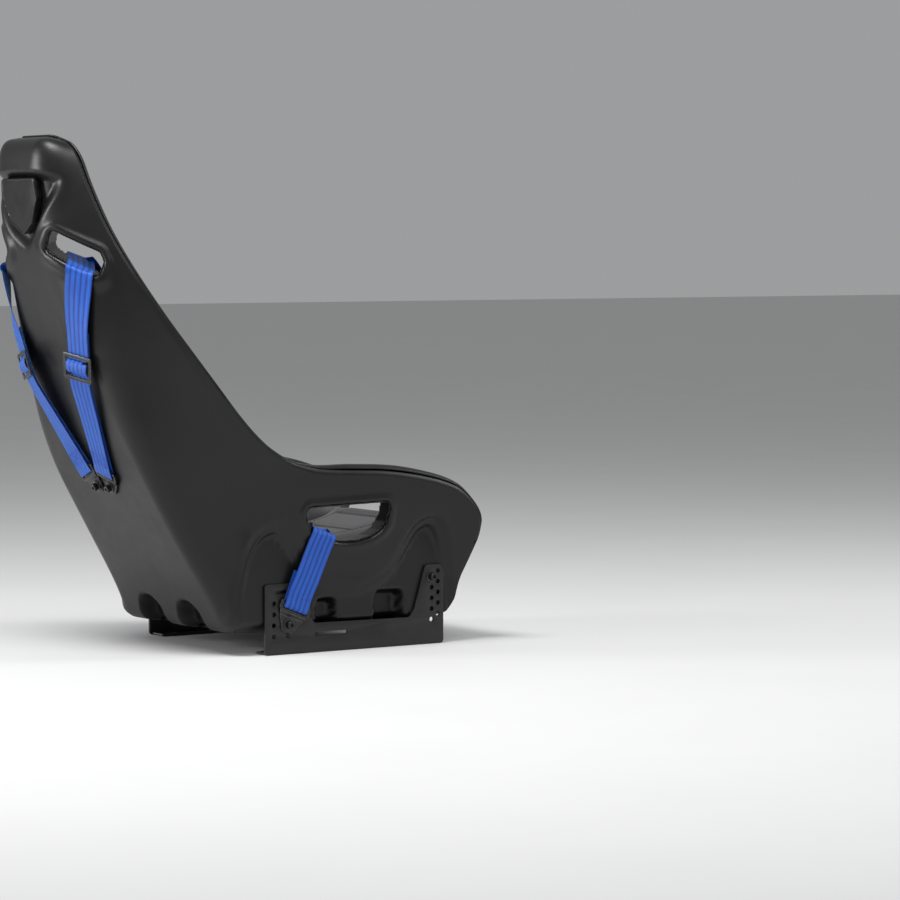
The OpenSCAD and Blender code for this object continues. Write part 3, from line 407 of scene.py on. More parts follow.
slots = {
    "shoulder": {"centre": (122, 357, 692), "across": (.66, -.66, -.42), "out": (.70, .70, -.12),
                 "core": [(-41, -9), (38, -9), (45, -2), (45, 9), (-41, 9)], "round": 12, "low": 1,
                 "depth": (-112, 45),
                 "lip": (3.4, 6.0), "lipWidth": (9, 17)},
    "lap": {"centre": (215, -122, 230), "across": (0, 1, 0), "out": (1, 0, 0),
            "core": [(-70, -4), (-62, -14), (-48, -22), (-28, -27), (-4, -28.5), (16, -26.5), (34, -21.5),
                (50, -14.5),
                     (63, -6), (71, 3), (74, 13), (-74, 17)], "round": 12,
            "low": -1, "depth": (-62, 50), "lip": (2.6, 3.8), "lipWidth": (8, 12)},
}
for s in slots.values():
    z = unit(s["out"])
    x = unit(np.array(s["across"]) - z * (np.array(s["across"]) @ z))
    s["axes"] = np.stack([x, np.cross(z, x), z])
    edge = []
    core = s["core"]
    for i, p in enumerate(core):
        a, b = np.subtract(p, core[i - 1]), np.subtract(core[(i + 1) % len(core)], p)
        a0, a1 = math.atan2(-a[0], a[1]), math.atan2(-b[0], b[1])
        a1 += 2 * math.pi if a1 < a0 - 1e-6 else 0
        edge += [(p[0] + s["round"] * math.cos(mix(a0, a1, j / 8)), p[1] + s["round"] * math.sin(mix(a0, a1,
            j / 8)))
                 for j in range(9)]
    edge = np.array(edge)
    length = np.r_[0, np.cumsum(np.linalg.norm(np.diff(np.vstack([edge, edge[:1]]), axis=0), axis=1))]
    at = np.linspace(0, length[-1], 220, endpoint=False)
    s["edge"] = np.stack([np.interp(at, length, np.r_[edge[:, i], edge[0, i]]) for i in (0, 1)], 1)
recessLine, hollowLine = rounded(shell["recess"]), rounded(shell["hollow"], 3)


def slotPlace(s, p):
    # place of a point in the slot's own axes; the right side mirrors the left
    q = np.concatenate([np.abs(p[..., :1]), p[..., 1:]], -1) - np.array(s["centre"], float)
    return q @ s["axes"].T


def slotDistance(s, p):
    q = slotPlace(s, p)
    d = polyDistance(q[..., 0], q[..., 1], s["core"]) - s["round"]
    return np.where((q[..., 2] > s["depth"][0]) & (q[..., 2] < s["depth"][1]), d, 999.0), q


def normalOf(f, k, t):
    k0, k1 = np.maximum(0, k - 0.03), np.minimum(last, k + 0.03)
    t0, t1 = np.maximum(-1, t - 0.01), np.minimum(1, t + 0.01)
    return unit(np.cross(f(k, t1) - f(k, t0), f(k1, t) - f(k0, t)))


def backSmooth(k, t):
    return section(k, t, shell["backLine"], shell["rimLine"], shell["backFlat"])


def seatSmooth(k, t):
    return section(k, t, shell["seatLine"], shell["seatRim"], shell["seatFlat"])


def recessDistance(p, k, t):
    d = polyDistance(p[..., 1], p[..., 2], recessLine)
    return np.where((np.abs(p[..., 0]) > 150) & (k > 6) & (np.abs(t) > 0.45), d, 999.0)


def cornerDistance(across, height, half, top, turn=13):
    # distance to a doorway shape with rounded upper corners
    dx, dz = np.abs(across) - (half - turn), height - (top - turn)
    return np.hypot(np.maximum(dx, 0), np.maximum(dz, 0)) + np.minimum(np.maximum(dx, dz), 0) - turn


def lipShape(s, d, q):
    low = np.clip(q[..., 1] * s["low"] / 22, -1, 1) * 0.5 + 0.5
    height, width = mix(*s["lip"], low), mix(*s["lipWidth"], low)
    turn = mix(4.0, 8.0, low)
    rise = height * step((width * 1.7 - d) / width)
    drop = np.where(d < turn, turn - np.sqrt(np.maximum(turn ** 2 - (turn - np.maximum(d, 0)) ** 2, 0)), 0)
    return rise - drop * 0.9


def outside(k, t):
    # outer face with its recesses, pockets, hollow and slot lips
    p = backSmooth(k, t)
    n = normalOf(backSmooth, k, t)
    sign, ax, y, z = np.sign(p[..., 0]), np.abs(p[..., 0]), p[..., 1], p[..., 2]
    d = recessDistance(p, k, t)
    m = 0.35 * step((9 - d) / 11) + 0.65 * step((-7 - d) / 11)
    face = mix(np.minimum(ax, shell["recessFace"]), shell["recessFace"], step((z - 40) / 20))
    swell = np.maximum(0, shell["recessWall"] - ax) * step((44 - d) / 36) * step(
        (z - 34) / 22) * step((64 - y) / 30 + 1)
    x = mix(ax + swell, face, m)
    x = x - 1.3 * np.exp(-((d + 5) / 2.6) ** 2)  # groove between the two steps
    for c, half, top, deep in shell["sidePockets"]:
        r = cornerDistance(y - c, z, half, top)
        x = x - deep * step((2.5 - r) / 8) * (d < 900)
    c, half, top, deep = shell["rearPockets"]
    rear = deep * step((2.5 - cornerDistance(ax - c, z, half, top, half * 0.9)) / 7) * (
        (k > 6.5) & (k < 9.8) & (np.abs(t) < 0.55))
    hollowAt = polyDistance(p[..., 0], z, hollowLine)
    onBack = (k < 4.2) & (y > 330)
    sunk = shell["hollowDepth"] * step((4 - hollowAt) / 22) * onBack
    spine = 5.5 * step((k - 2.6) / 1.6) * step((7 - k) / 3) * step((100 - ax) / 70)
    out = np.stack([sign * x, y - rear * step((z - 18) / 8), z], -1)
    out = out - n * (sunk + spine)[..., None]
    for s in slots.values():
        sd, q = slotDistance(s, p)
        out = out + n * lipShape(s, sd, q)[..., None]
    edge = np.minimum(np.minimum((1 - np.abs(t)) * 90, k * 40), (last - k) * 60)
    return out - n * (1.8 * step((4.5 - edge) / 4.5))[..., None]


def inside(k, t):
    p = seatSmooth(k, t)
    n = normalOf(seatSmooth, k, t)
    for s in slots.values():
        sd, q = slotDistance(s, p)
        p = p + n * np.where(sd < 7, 7 - np.sqrt(np.maximum(49 - (7 - np.maximum(sd, 0)) ** 2, 0)), 0)[...,
            None]
    return p


def needs(p, k, t, level):
    # where the mesh is made finer: lips, steps, pockets, hollow and corners
    lip = np.minimum(*[slotDistance(s, p)[0] for s in slots.values()])
    band = np.abs(recessDistance(p, k, t) + 4)
    ax = np.abs(p[..., 0])
    pocket = np.full(k.shape, 999.0)
    for c, half, top, deep in shell["sidePockets"]:
        pocket = np.minimum(pocket, np.where(ax > 150, np.abs(polyDistance(p[..., 1], p[..., 2], [
            (c - half, 0), (c + half, 0), (c + half, top - 8), (c + 10, top), (c - 10, top), (c - half,
                top - 8)])), 999))
    c, half, top, deep = shell["rearPockets"]
    rear = (np.abs(ax - c) < half + 10) & (p[..., 2] < top + 8) & (k > 6.5) & (k < 9.9) & (np.abs(t) < 0.6)
    sunk = np.where((k < 4.2) & (p[..., 1] > 320), np.abs(polyDistance(p[..., 0], p[..., 2],
        hollowLine) + 9), 999)
    reach = (34, 22, 9)[level]
    ok = (np.abs(lip) < reach) | (band < (24, 15, 0)[level]) | (pocket < (18, 12, 0)[level])
    if level < 2:
        ok |= (sunk < (30, 16)[level]) | rear
    if level == 0:
        ok |= (np.abs(np.abs(t) - 0.56) < 0.2) | (np.abs(t) > 0.93) | (k < 0.5) | (k > 14.3)
    return ok


def skinMesh(name, surface, smooth, rows, columns, levels, flip):
    # grid over the skin, split finer where it needs detail, with the slots left open
    bm = bmesh.new()
    layer = bm.verts.layers.float_vector.new("gridPlace")
    bmesh.ops.create_grid(bm, x_segments=columns, y_segments=rows, size=1)
    for v in bm.verts:
        v.co = Vector(((v.co.y + 1) / 2 * last, v.co.x, 0))
    for level in range(levels):
        faces = list(bm.faces)
        centre = np.array([f.calc_center_median()[:2] for f in faces])
        wanted = needs(smooth(centre[:, 0], centre[:, 1]), centre[:, 0], centre[:, 1], level)
        edges = {e for f, w in zip(faces, wanted) if w for e in f.edges}
        bmesh.ops.subdivide_edges(bm, edges=list(edges), cuts=1, use_grid_fill=True)
    bm.verts.ensure_lookup_table()
    kt = np.array([v.co[:2] for v in bm.verts])
    k, t = np.clip(kt[:, 0], 0, last), np.clip(kt[:, 1], -1, 1)
    rough = smooth(k, t)
    place = surface(k, t)
    holes = {}
    for key, s in slots.items():
        d, q = slotDistance(s, rough)
        drop = [f for f in bm.faces if np.mean([d[v.index] for v in f.verts]) < 0]
        holes[key] = {v.index for f in drop for v in f.verts}
        bmesh.ops.delete(bm, geom=drop, context="FACES_ONLY")
    rims = {}
    for key, s in slots.items():
        for side in (-1, 1):
            edge = [v for v in bm.verts if v.index in holes[key] and v.link_faces and v.is_boundary
                    and rough[v.index][0] * side > 0]
            q = slotPlace(s, place[[v.index for v in edge]])
            near = np.array([np.argmin(((s["edge"] - p[:2]) ** 2).sum(1)) for p in q])
            q[:, :2] = s["edge"][near]
            back = q @ s["axes"] + np.array(s["centre"], float)
            back[:, 0] *= side
            place[[v.index for v in edge]] = back
            order = np.argsort(near)
            rims[key, side] = (near[order], q[order, 2])
    for v in bm.verts:
        v.co = Vector(place[v.index]) * mm
        v[layer] = (k[v.index], t[v.index], 0)
    bmesh.ops.delete(bm, geom=[v for v in bm.verts if not v.link_faces], context="VERTS")
    if flip:
        bmesh.ops.reverse_faces(bm, faces=bm.faces)
    return bm, layer, rims


def finished(name, bm, material, smoothAngle=None):
    mesh = bpy.data.meshes.new(name)
    bm.to_mesh(mesh)
    bm.free()
    made = bpy.data.objects.new(name, mesh)
    bpy.context.scene.collection.objects.link(made)
    for m in (material if isinstance(material, list) else [material]):
        mesh.materials.append(m)
    mesh.shade_smooth()
    if smoothAngle:
        mesh.set_sharp_from_angle(angle=math.radians(smoothAngle))
    return made


def baked(made):
    # the modifiers' result as a plain mesh
    depsgraph = bpy.context.evaluated_depsgraph_get()
    mesh = bpy.data.meshes.new_from_object(made.evaluated_get(depsgraph), preserve_all_data_layers=True,
                                           depsgraph=depsgraph)
    old = made.data
    made.modifiers.clear()
    made.data = mesh
    bpy.data.meshes.remove(old)
    mesh.name = made.name
    return made


def thicken(made, amount, offset=-1.0):
    wall = made.modifiers.new("wall", "SOLIDIFY")
    wall.thickness, wall.offset, wall.use_rim = amount, offset, True
    return baked(made)


bm, layer, outerRims = skinMesh("outerShell", outside, backSmooth, 112, 92, 3, False)
bmesh.ops.triangulate(bm, faces=[f for f in bm.faces if len(f.verts) > 4])
outerShell = finished("outerShell", bm, finishes["shell"])
print("outer skin:", len(outerShell.data.polygons), "faces")


def bulgeAt(k):
    return np.interp(k, *zip(*shell["bulge"]))


def rimTurn(k, t):
    # way that the rolled rim faces, across the edge
    s, r, b = along(shell["backLine"], k), along(shell["rimLine"], k), along(shell["seatLine"], k)
    side = unit(np.stack([0 * k, r[..., 0] - (s[..., 0] + b[..., 0]) / 2, r[..., 1] - (s[..., 1] + b[...,
        1]) / 2], -1))
    ends = (k < 0.001) | (k > last - 0.001)
    way = side * (np.abs(t) > 0.999)[..., None] * np.where(ends, 0.4, 1.0)[..., None]
    way = way + (k < 0.001)[..., None] * np.array([0, -0.1, 1.0])
    return unit(way + (k > last - 0.001)[..., None] * np.array([0, -1, 0.5]))


bm, layer, innerRims = skinMesh("innerShell", inside, seatSmooth, 96, 76, 2, True)
start = min((v for v in bm.verts if v.is_boundary and v[layer][0] < 0.001), key=lambda v: v[layer][1])
loop, before, here = [start], None, start
while True:  # walk round the edge of the seat side
    ways = [e.other_vert(here) for e in here.link_edges if e.is_boundary]
    ways = [v for v in ways if v != before and (before is not None or v[layer][0] < 0.001)]
    before, here = here, ways[0]
    if here == start:
        break
    loop.append(here)
k, t = np.array([v[layer][0] for v in loop]), np.array([v[layer][1] for v in loop])
k[np.abs(k - last) < 1e-4], t = last, np.where(np.abs(np.abs(t) - 1) < 1e-4, np.sign(t), t)
outerEdge, innerEdge = backSmooth(k, t), np.array([v.co for v in loop]) / mm
centre, half = (outerEdge + innerEdge) / 2, (innerEdge - outerEdge) / 2
way = rimTurn(k, t)
for _ in range(60):  # the way turns gradually round the corners
    way = unit(way + 0.5 * (np.roll(way, 1, 0) + np.roll(way, -1, 0)))
rolled, rings = [loop], 12
for i in range(1, rings + 1):
    turn = math.radians(158) * i / rings
    ring = centre + half * math.cos(turn) + way * (bulgeAt(k) * math.sin(turn))[:, None]
    rolled.append([bm.verts.new(Vector(p) * mm) for p in ring])
rimFaces = [bm.faces.new((rolled[i][j], rolled[i][(j + 1) % len(loop)], rolled[i + 1][(j + 1) % len(loop)],
                          rolled[i + 1][j])) for i in range(rings) for j in range(len(loop))]
for f in rimFaces:
    f.material_index = 1
bmesh.ops.triangulate(bm, faces=[f for f in bm.faces if len(f.verts) > 4])
bm.normal_update()
if sum(f.normal.dot(Vector(way[i % len(loop)])) for i, f in enumerate(rimFaces)) < 0:
    bmesh.ops.reverse_faces(bm, faces=rimFaces)
innerShell = finished("innerShell", bm, [finishes["liner"], finishes["rim"]])
for made, node, slotName in ((outerShell, "outer_shell", "shell"), (innerShell, "inner_shell", "liner")):
    thicken(made, shell["skin"] * mm)
    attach(made, "seat"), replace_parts(made, node), made
print("seat side:", len(innerShell.data.polygons), "faces")


def tunnel(key, side):
    # wall of a strap slot, from the outer lip to the seat side
    s = slots[key]
    count = len(s["edge"])
    at = np.arange(count)
    ends = [np.interp(at, np.r_[n - count, n, n + count], np.r_[w, w, w])
            for n, w in (outerRims[key, side], innerRims[key, side])]
    outwards = unit(s["edge"] - s["edge"].mean(0))
    bm = bmesh.new()
    rows = []
    for i in range(9):
        f = i / 8
        swell = 1.6 * (f * (1 - f) * 4) ** 0.5 * 0.6  # waisted, like a moulded tube
        q = np.concatenate([s["edge"] + outwards * 0.1 - outwards * swell * 0.4,
                            mix(ends[0] + 0.4, ends[1] - 0.4, f)[:, None]], 1)
        p = q @ s["axes"] + np.array(s["centre"], float)
        p[:, 0] *= side
        rows.append([bm.verts.new(Vector(v) * mm) for v in p])
    for i in range(8):
        for j in range(count):
            ring = (rows[i][j], rows[i][(j + 1) % count], rows[i + 1][(j + 1) % count], rows[i + 1][j])
            bm.faces.new(ring if side < 0 else ring[::-1])
    made = finished(key + "Tunnel" + ("Left" if side > 0 else "Right"), bm, finishes["shell"])
    thicken(made, 2.2 * mm)
    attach(made, "seat"), made
    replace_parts(made, key + "_bezel_" + ("left" if side > 0 else "right"))
    return made


tunnels = [tunnel(key, side) for key in slots for side in (-1, 1)]
print("slots lined:", len(tunnels))


# ---------- shield plate on the back of the head ----------
shield = {"outline": [(-52, 37), (52, 37), (56, 12), (34, -24), (0, -42), (-34, -24), (-56, 12)], "grow": 8,
    "height": 773,
          "proud": 2.6, "border": 1.3}


def shieldPlate():
    outer = []
    core = shield["outline"][::-1]
    for i, p in enumerate(core):
        a, b = np.subtract(p, core[i - 1]), np.subtract(core[(i + 1) % len(core)], p)
        a0, a1 = math.atan2(-a[0], a[1]), math.atan2(-b[0], b[1])
        a1 += 2 * math.pi if a1 < a0 - 1e-6 else 0
        outer += [(p[0] + shield["grow"] * math.cos(mix(a0, a1, j / 5)), p[1] + shield["grow"] * math.sin(
            mix(a0, a1, j / 5))) for j in range(6)]
    outer = np.array(outer)
    length = np.r_[0, np.cumsum(np.linalg.norm(np.diff(np.vstack([outer, outer[:1]]), axis=0), axis=1))]
    at = np.linspace(0, length[-1], 240, endpoint=False)
    edge = np.stack([np.interp(at, length, np.r_[outer[:, i], outer[0, i]]) for i in (0, 1)], 1)
    # rings inwards: (distance from the edge in mm, height over the shell in mm)
    steps = [(-2, -17), (0, -2.5), (0.6, -1.4), (1.4, -0.8), (2.6, -0.8), (3.4, -1.5), (4.2, -2.2), (7, -2.3)]
    sizes = np.linalg.norm(edge, axis=1, keepdims=True)
    rings = [(edge * (1 - d / sizes), h) for d, h in steps] + [
        (edge * (1 - 7 / sizes) * f, -2.3 + 0.6 * (1 - f * f)) for f in np.linspace(1, 0.02, 12)[1:]]
    k, t = np.meshgrid(np.linspace(0.3, 4.2, 40), np.linspace(-1, 1, 61), indexing="ij")
    level = [Vector(p) * mm for p in backSmooth(k, t).reshape(-1, 3)]
    smoothBack = BVHTree.FromPolygons(level, [(i * 61 + j, i * 61 + j + 1, i * 61 + j + 62, i * 61 + j + 61)
                                              for i in range(39) for j in range(60)])
    bm, rows = bmesh.new(), []
    for ring, h in rings:
        row = []
        for x, z in ring:
            hit, normal, _, _ = smoothBack.ray_cast(Vector((x, 520, z + shield["height"])) * mm, Vector((0,
                -1, 0)))
            row.append(bm.verts.new(hit + (normal if normal.y > 0 else -normal) * h * mm))
        rows.append(row)
    for a, b in zip(rows, rows[1:]):
        for j in range(len(a)):
            bm.faces.new((a[j], a[(j + 1) % len(a)], b[(j + 1) % len(a)], b[j]))
    bm.faces.new(rows[-1])
    for _ in range(4):  # the plate bridges small changes of the shell
        bmesh.ops.smooth_vert(bm, verts=[v for row in rows[7:] for v in row], factor=0.5, use_axis_x=True,
                              use_axis_y=True, use_axis_z=True)
    bmesh.ops.triangulate(bm, faces=[f for f in bm.faces if len(f.verts) > 4])
    bmesh.ops.recalc_face_normals(bm, faces=bm.faces)
    if sum(f.normal.y for f in bm.faces) < 0:
        bmesh.ops.reverse_faces(bm, faces=bm.faces)
    made = finished("shieldPlate", bm, finishes["badge"], 40)
    thicken(made, 1.0 * mm)
    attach(made, "seat"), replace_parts(made, "rear_badge"), made
    return made


shieldPlate()
print("shield plate made")


# ---------- metal and moulded small parts ----------
def machined(node, body, finish, edgeFinish, slotName, bevel=0.5, angle=32, segments=2):
    # the part's own solid with eased edges; the bevel faces take the edge finish, which on metal parts is
    # lighter: painted edge highlight with a little wear
    bm = bmesh.new()
    bm.from_mesh(nodes[node].data)
    bmesh.ops.remove_doubles(bm, verts=bm.verts, dist=0.00001)
    bmesh.ops.dissolve_limit(bm, angle_limit=math.radians(0.8), verts=bm.verts, edges=bm.edges)
    bmesh.ops.recalc_face_normals(bm, faces=bm.faces)
    made = finished(node.title().replace("_", ""), bm, [finishes[finish], finishes[edgeFinish]])
    made.name = made.name[0].lower() + made.name[1:]
    for face in made.data.polygons:
        face.material_index = 0
    eased = made.modifiers.new("eased", "BEVEL")
    eased.width, eased.segments, eased.limit_method = bevel * mm, segments, "ANGLE"
    eased.angle_limit, eased.material, eased.use_clamp_overlap = math.radians(angle), 1, True
    baked(made)
    bm = bmesh.new()
    bm.from_mesh(made.data)
    bmesh.ops.triangulate(bm, faces=[f for f in bm.faces if len(f.verts) > 4])
    bm.to_mesh(made.data)
    bm.free()
    made.data.shade_smooth()
    made.data.set_sharp_from_angle(angle=math.radians(angle))
    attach(made, body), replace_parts(made, node), made
    return made


smallParts = [
    # node, body, finish, edge finish (lighter on metal: painted edge highlight), slot, edge size in mm
    ("seat_bolts", "seat", "bolt", "boltEdge", "black_fasteners", 0.45),
    ("seat_washers", "seat", "bolt", "boltEdge", "black_fasteners", 0.3),
    ("anchor_bolts", "seat", "bolt", "boltEdge", "black_fasteners", 0.45),
    ("anchor_washers", "seat", "bolt", "boltEdge", "black_fasteners", 0.3),
    ("buckle_screws", "seat", "bolt", "boltEdge", "black_fasteners", 0.2),
    ("buckle_base", "seat", "trim", "trim", "trim_plastic", 0.6),
    ("buckle_cover", "seat", "trim", "trim", "trim_plastic", 0.5),
    ("buckle_post", "seat", "bright", "brightEdge", "bright_steel", 0.3),
    ("buckle_knob", "release_knob", "red", "red", "knob", 1.1),
    ("buckle_spring", "seat", "bright", "brightEdge", "bright_steel", 0.3),
    ("latch_pins", "seat", "bright", "brightEdge", "bright_steel", 0.3),
]
for side in ("left", "right"):
    smallParts += [
        ("side_bracket_" + side, "seat", "steel", "steelEdge", "black_steel", 0.6),
        ("shoulder_anchor_" + side, "seat", "steel", "steelEdge", "black_steel", 0.5),
        ("lap_anchor_" + side, "seat", "steel", "steelEdge", "black_steel", 0.5),
        ("rear_slide_" + side, "rear_slide_" + side + "_body", "steel", "steelEdge", "black_steel", 0.7),
        ("shoulder_cam_" + side, "shoulder_tongue_" + side + "_body", "steel", "steelEdge", "black_steel",
            0.3),
        ("lap_cam_" + side, "lap_tongue_" + side + "_body", "steel", "steelEdge", "black_steel", 0.3),
        ("shoulder_tongue_" + side, "shoulder_tongue_" + side + "_body", "bright", "brightEdge",
            "bright_steel", 0.5),
        ("lap_tongue_" + side, "lap_tongue_" + side + "_body", "bright", "brightEdge", "bright_steel", 0.5),
    ]
made = [machined(*part) for part in smallParts]
for node, finish in (("threaded_inserts", "brass"), ("hook_strips", "hook")):
    nodes[node].data.materials.clear()
    nodes[node].data.materials.append(finishes[finish])
print("small parts:", len(made))


# ---------- webbing ----------
harness = {"anchorX": 23.5, "anchorZ": 290, "anchorY": 231.75 - 0.8, "lift": 1.1, "fan": 18, "lapTurn": 21.5,
           "span": 205, "lapBolt": (-12, 51), "slideAt": (95, 327, 500), "slideWay": (38, 27, 150),
           "slideAcross": (0.97, -0.25, 0), "buckle": (0, -126, 188), "webZ": 205.6, "backRide": 39,
           "lipAcross": (0.66, -0.66, -0.42), "lipOver": (0.74, -0.66, -0.16), "thick": 1.7,
               "ribHigh": 0.42, "spacing": 3.2}


def vec(*v):
    return np.array(v, float)


anchorOut = unit(vec(0, 0.898, -0.4455))
fan = math.radians(harness["fan"])
anchorUp = unit(vec(math.sin(fan), 0.4455 * math.cos(fan), 0.898 * math.cos(fan)))
anchorAcross = unit(vec(math.cos(fan), -0.4455 * math.sin(fan), -0.898 * math.sin(fan)))
slideWay = unit(vec(*harness["slideWay"]))
slideAcross = unit(vec(*harness["slideAcross"]) - slideWay * (slideWay @ vec(*harness["slideAcross"])))
slideOut = np.cross(slideWay, slideAcross)
lapTurn = math.radians(harness["lapTurn"])
lapAcross = vec(0, math.cos(lapTurn), math.sin(lapTurn))
lipAcross, lipOver = vec(*harness["lipAcross"]), vec(*harness["lipOver"])
shoulderWay, lapWay = unit(vec(0.53, 0.85, 0)), unit(vec(1, 0.12, 0))
shoulderAcross, lapOver = vec(shoulderWay[1], -shoulderWay[0], 0), vec(-lapWay[1], lapWay[0], 0)


def atAnchor(u, w):
    return vec(harness["anchorX"], harness["anchorY"], harness["anchorZ"]) + anchorUp * u + anchorOut * (
        w + harness["lift"])


def atLapPlate(u, w):
    y, z = harness["lapBolt"]
    return vec(harness["span"] + w, y - math.sin(lapTurn) * u, z + math.cos(lapTurn) * u)


def onSlide(u, h):
    return vec(*harness["slideAt"]) + slideWay * u + slideOut * h


def inSlot(u, v, w):
    return vec(*slots["shoulder"]["centre"]) + vec(u, v, w) @ slots["shoulder"]["axes"]


def onBack(k, x, h):
    k = np.array(float(k))
    p, n = seatSmooth(k, np.array(0.0)), normalOf(seatSmooth, k, np.array(0.0))
    return vec(x, p[1] - n[1] * h, p[2] - n[2] * h)


def toBuckle(way, r):
    return vec(way[0] * r, harness["buckle"][1] + way[1] * r, harness["webZ"])


def overLip(f):
    return mix(onSlide(60, 6.5), inSlot(30, 42, 8), f) + slideOut * 2


def fall(f, h):
    return mix(onSlide(-30, h), atAnchor(60, h - 0.2), f), mix(slideAcross, anchorAcross, f)


ride = harness["backRide"]
shoulderRoute = [(onSlide(u, h), slideAcross) for u, h in ((64, 2.6), (30, 2.6), (0, 2.6), (-30, 2.6))] + [
    fall(0.33, 2.6), fall(0.67, 2.4)] + [(atAnchor(u, w), anchorAcross) for u, w in (
        (60, 2.2), (44, 2.2), (36, 2.2), (28.5, 2.2), (26.5, 3.5), (26.5, 7.5), (28.5, 8.8), (36, 8.8), (44,
            8.8),
        (60, 8.4))] + [fall(0.67, 7.4), fall(0.33, 6.6)] + [(onSlide(u, h), slideAcross) for u, h in (
            (-30, 6), (0, 6), (40, 6), (60, 6.5))] + [
    (overLip(0.3), mix(slideAcross, lipOver, 0.3)), (overLip(0.62), mix(slideAcross, lipOver, 0.65)),
    (inSlot(30, 42, 8), lipOver), (inSlot(27, 31, 9), mix(lipAcross, lipOver, 0.6)),
    (inSlot(23, 20, 8), lipAcross), (inSlot(21, 18.2, -4), lipAcross), (inSlot(16, 18.2, -26), lipAcross),
    (inSlot(5, 17, -54), vec(0.7, -0.6, -0.38)), (inSlot(-4, 14, -76), vec(0.8, -0.5, -0.3)),
    (onBack(3.9, 86, ride), vec(0.95, -0.2, -0.1))] + [(onBack(k, x, ride), vec(1, 0, 0)) for k, x in (
        (4.3, 80), (4.8, 77), (5.4, 75), (6, 75), (6.6, 77))] + [
    (onBack(7.3, 84, ride + 2), vec(1, 0, 0)), (vec(92, 62, 222), vec(1, -0.2, 0)),
    (vec(86, 28, 204), vec(0.9, -0.4, 0))] + [(toBuckle(shoulderWay, r), shoulderAcross) for r in (
        150, 124, 90, 76, 68)]
lapRoute = [(atLapPlate(u, w), lapAcross) for u, w in (
    (92, 3), (62, 2.4), (44, 2.2), (36, 2.2), (28.5, 2.2), (26.5, 3.5), (26.5, 7.5), (28.5, 8.8), (36, 8.8),
        (44, 9.2),
    (70, 11), (110, 15), (142, 19), (158, 22), (168, 23), (173, 17))] + [
    (atLapPlate(173, 6), vec(0, 0.92, 0.4)), (atLapPlate(173, -12), vec(0, 0.94, 0.3)),
    (vec(172, -82, 209), vec(0, 0.98, 0.15)), (vec(160, -98, 202), vec(0, 1, 0))] + [
    (toBuckle(lapWay, r), lapOver) for r in (146, 124, 90, 64, 54)]
foldRoute = [(onSlide(u, 7.8 + h), slideAcross) for u, h in (
    (-12.2, 0.2), (-10.5, 1.8), (-7.6, 3.9), (-4, 5.1), (0, 5.3), (4, 5.1), (7.6, 3.9), (10.5, 1.8), (12.2,
        0.2))]


def swept(name, route, side, body, node, close=True):
    # ribbed band along a smooth route of (centre, way across)
    centres, ways = np.array([p for p, _ in route]), np.array([w for _, w in route])
    k = np.linspace(0, len(route) - 1, len(route) * 40)
    line = along(centres, k)
    length = np.r_[0, np.cumsum(np.linalg.norm(np.diff(line, axis=0), axis=1))]
    count = max(12, int(length[-1] / harness["spacing"]))
    k = np.interp(np.linspace(0, length[-1], count), length, k)
    line, across, run = along(centres, k), along(ways, k), np.linspace(0, length[-1], count)
    tangent = unit(np.gradient(line, axis=0))
    across = unit(across - tangent * (across * tangent).sum(1)[:, None])
    out = np.cross(across, tangent)
    width, ribs = webbing["width"] / mm, webbing["ribs"]
    u = np.linspace(-0.5, 0.5, 51)
    high = harness["thick"] / 2 - harness["ribHigh"] + harness["ribHigh"] * np.abs(
        np.cos(np.pi * ribs * u)) ** 0.7
    high = high * (1 - np.clip((np.abs(u) - 0.478) / 0.022, 0, 1) ** 2 * 0.75)
    ring = [(a, h) for a, h in zip(u, high)] + [(a, -h) for a, h in zip(u[::-1], high[::-1])]
    rng = np.random.default_rng(7 + len(route))
    wave = np.interp(run, np.linspace(0, length[-1], 26), rng.normal(0, 0.35,
        26))  # cloth never lies quite straight
    bm = bmesh.new()
    layer = bm.loops.layers.uv.new("strapUv")
    rows = []
    for i in range(count):
        place = line[i] + across[i] * wave[i]
        rows.append([bm.verts.new(Vector((place + across[i] * a * width + out[i] * h) * vec(side, 1, 1)) * mm)
                     for a, h in ring])
    n = len(ring)
    for i in range(count - 1):
        for j in range(n):
            f = bm.faces.new((rows[i][j], rows[i][(j + 1) % n], rows[i + 1][(j + 1) % n], rows[i + 1][j]))
            for loop, (r, c) in zip(f.loops, ((i, j), (i, j + 1), (i + 1, j + 1), (i + 1, j))):
                loop[layer].uv = (ring[c % n][0] * width * mm, run[r] * mm)
    for row in (rows[0], rows[-1]):
        for j in range(n // 2 - 1):
            f = bm.faces.new((row[j], row[j + 1], row[n - 2 - j], row[n - 1 - j]))
            for loop in f.loops:
                loop[layer].uv = (0, 0)
    bmesh.ops.recalc_face_normals(bm, faces=bm.faces)
    made = finished(name, bm, finishes["web"], 50)
    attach(made, body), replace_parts(made, node), made
    return made


for side, label in ((1, "left"), (-1, "right")):
    swept("shoulderStrap" + label.title(), shoulderRoute, side, "seat",
        "shoulder_strap_" + label)
    swept("lapStrap" + label.title(), lapRoute, side, "seat", "lap_strap_" + label)
    swept("slideFold" + label.title(), foldRoute, side, "rear_slide_" + label + "_body",
          "slide_fold_" + label)
print("webbing run")


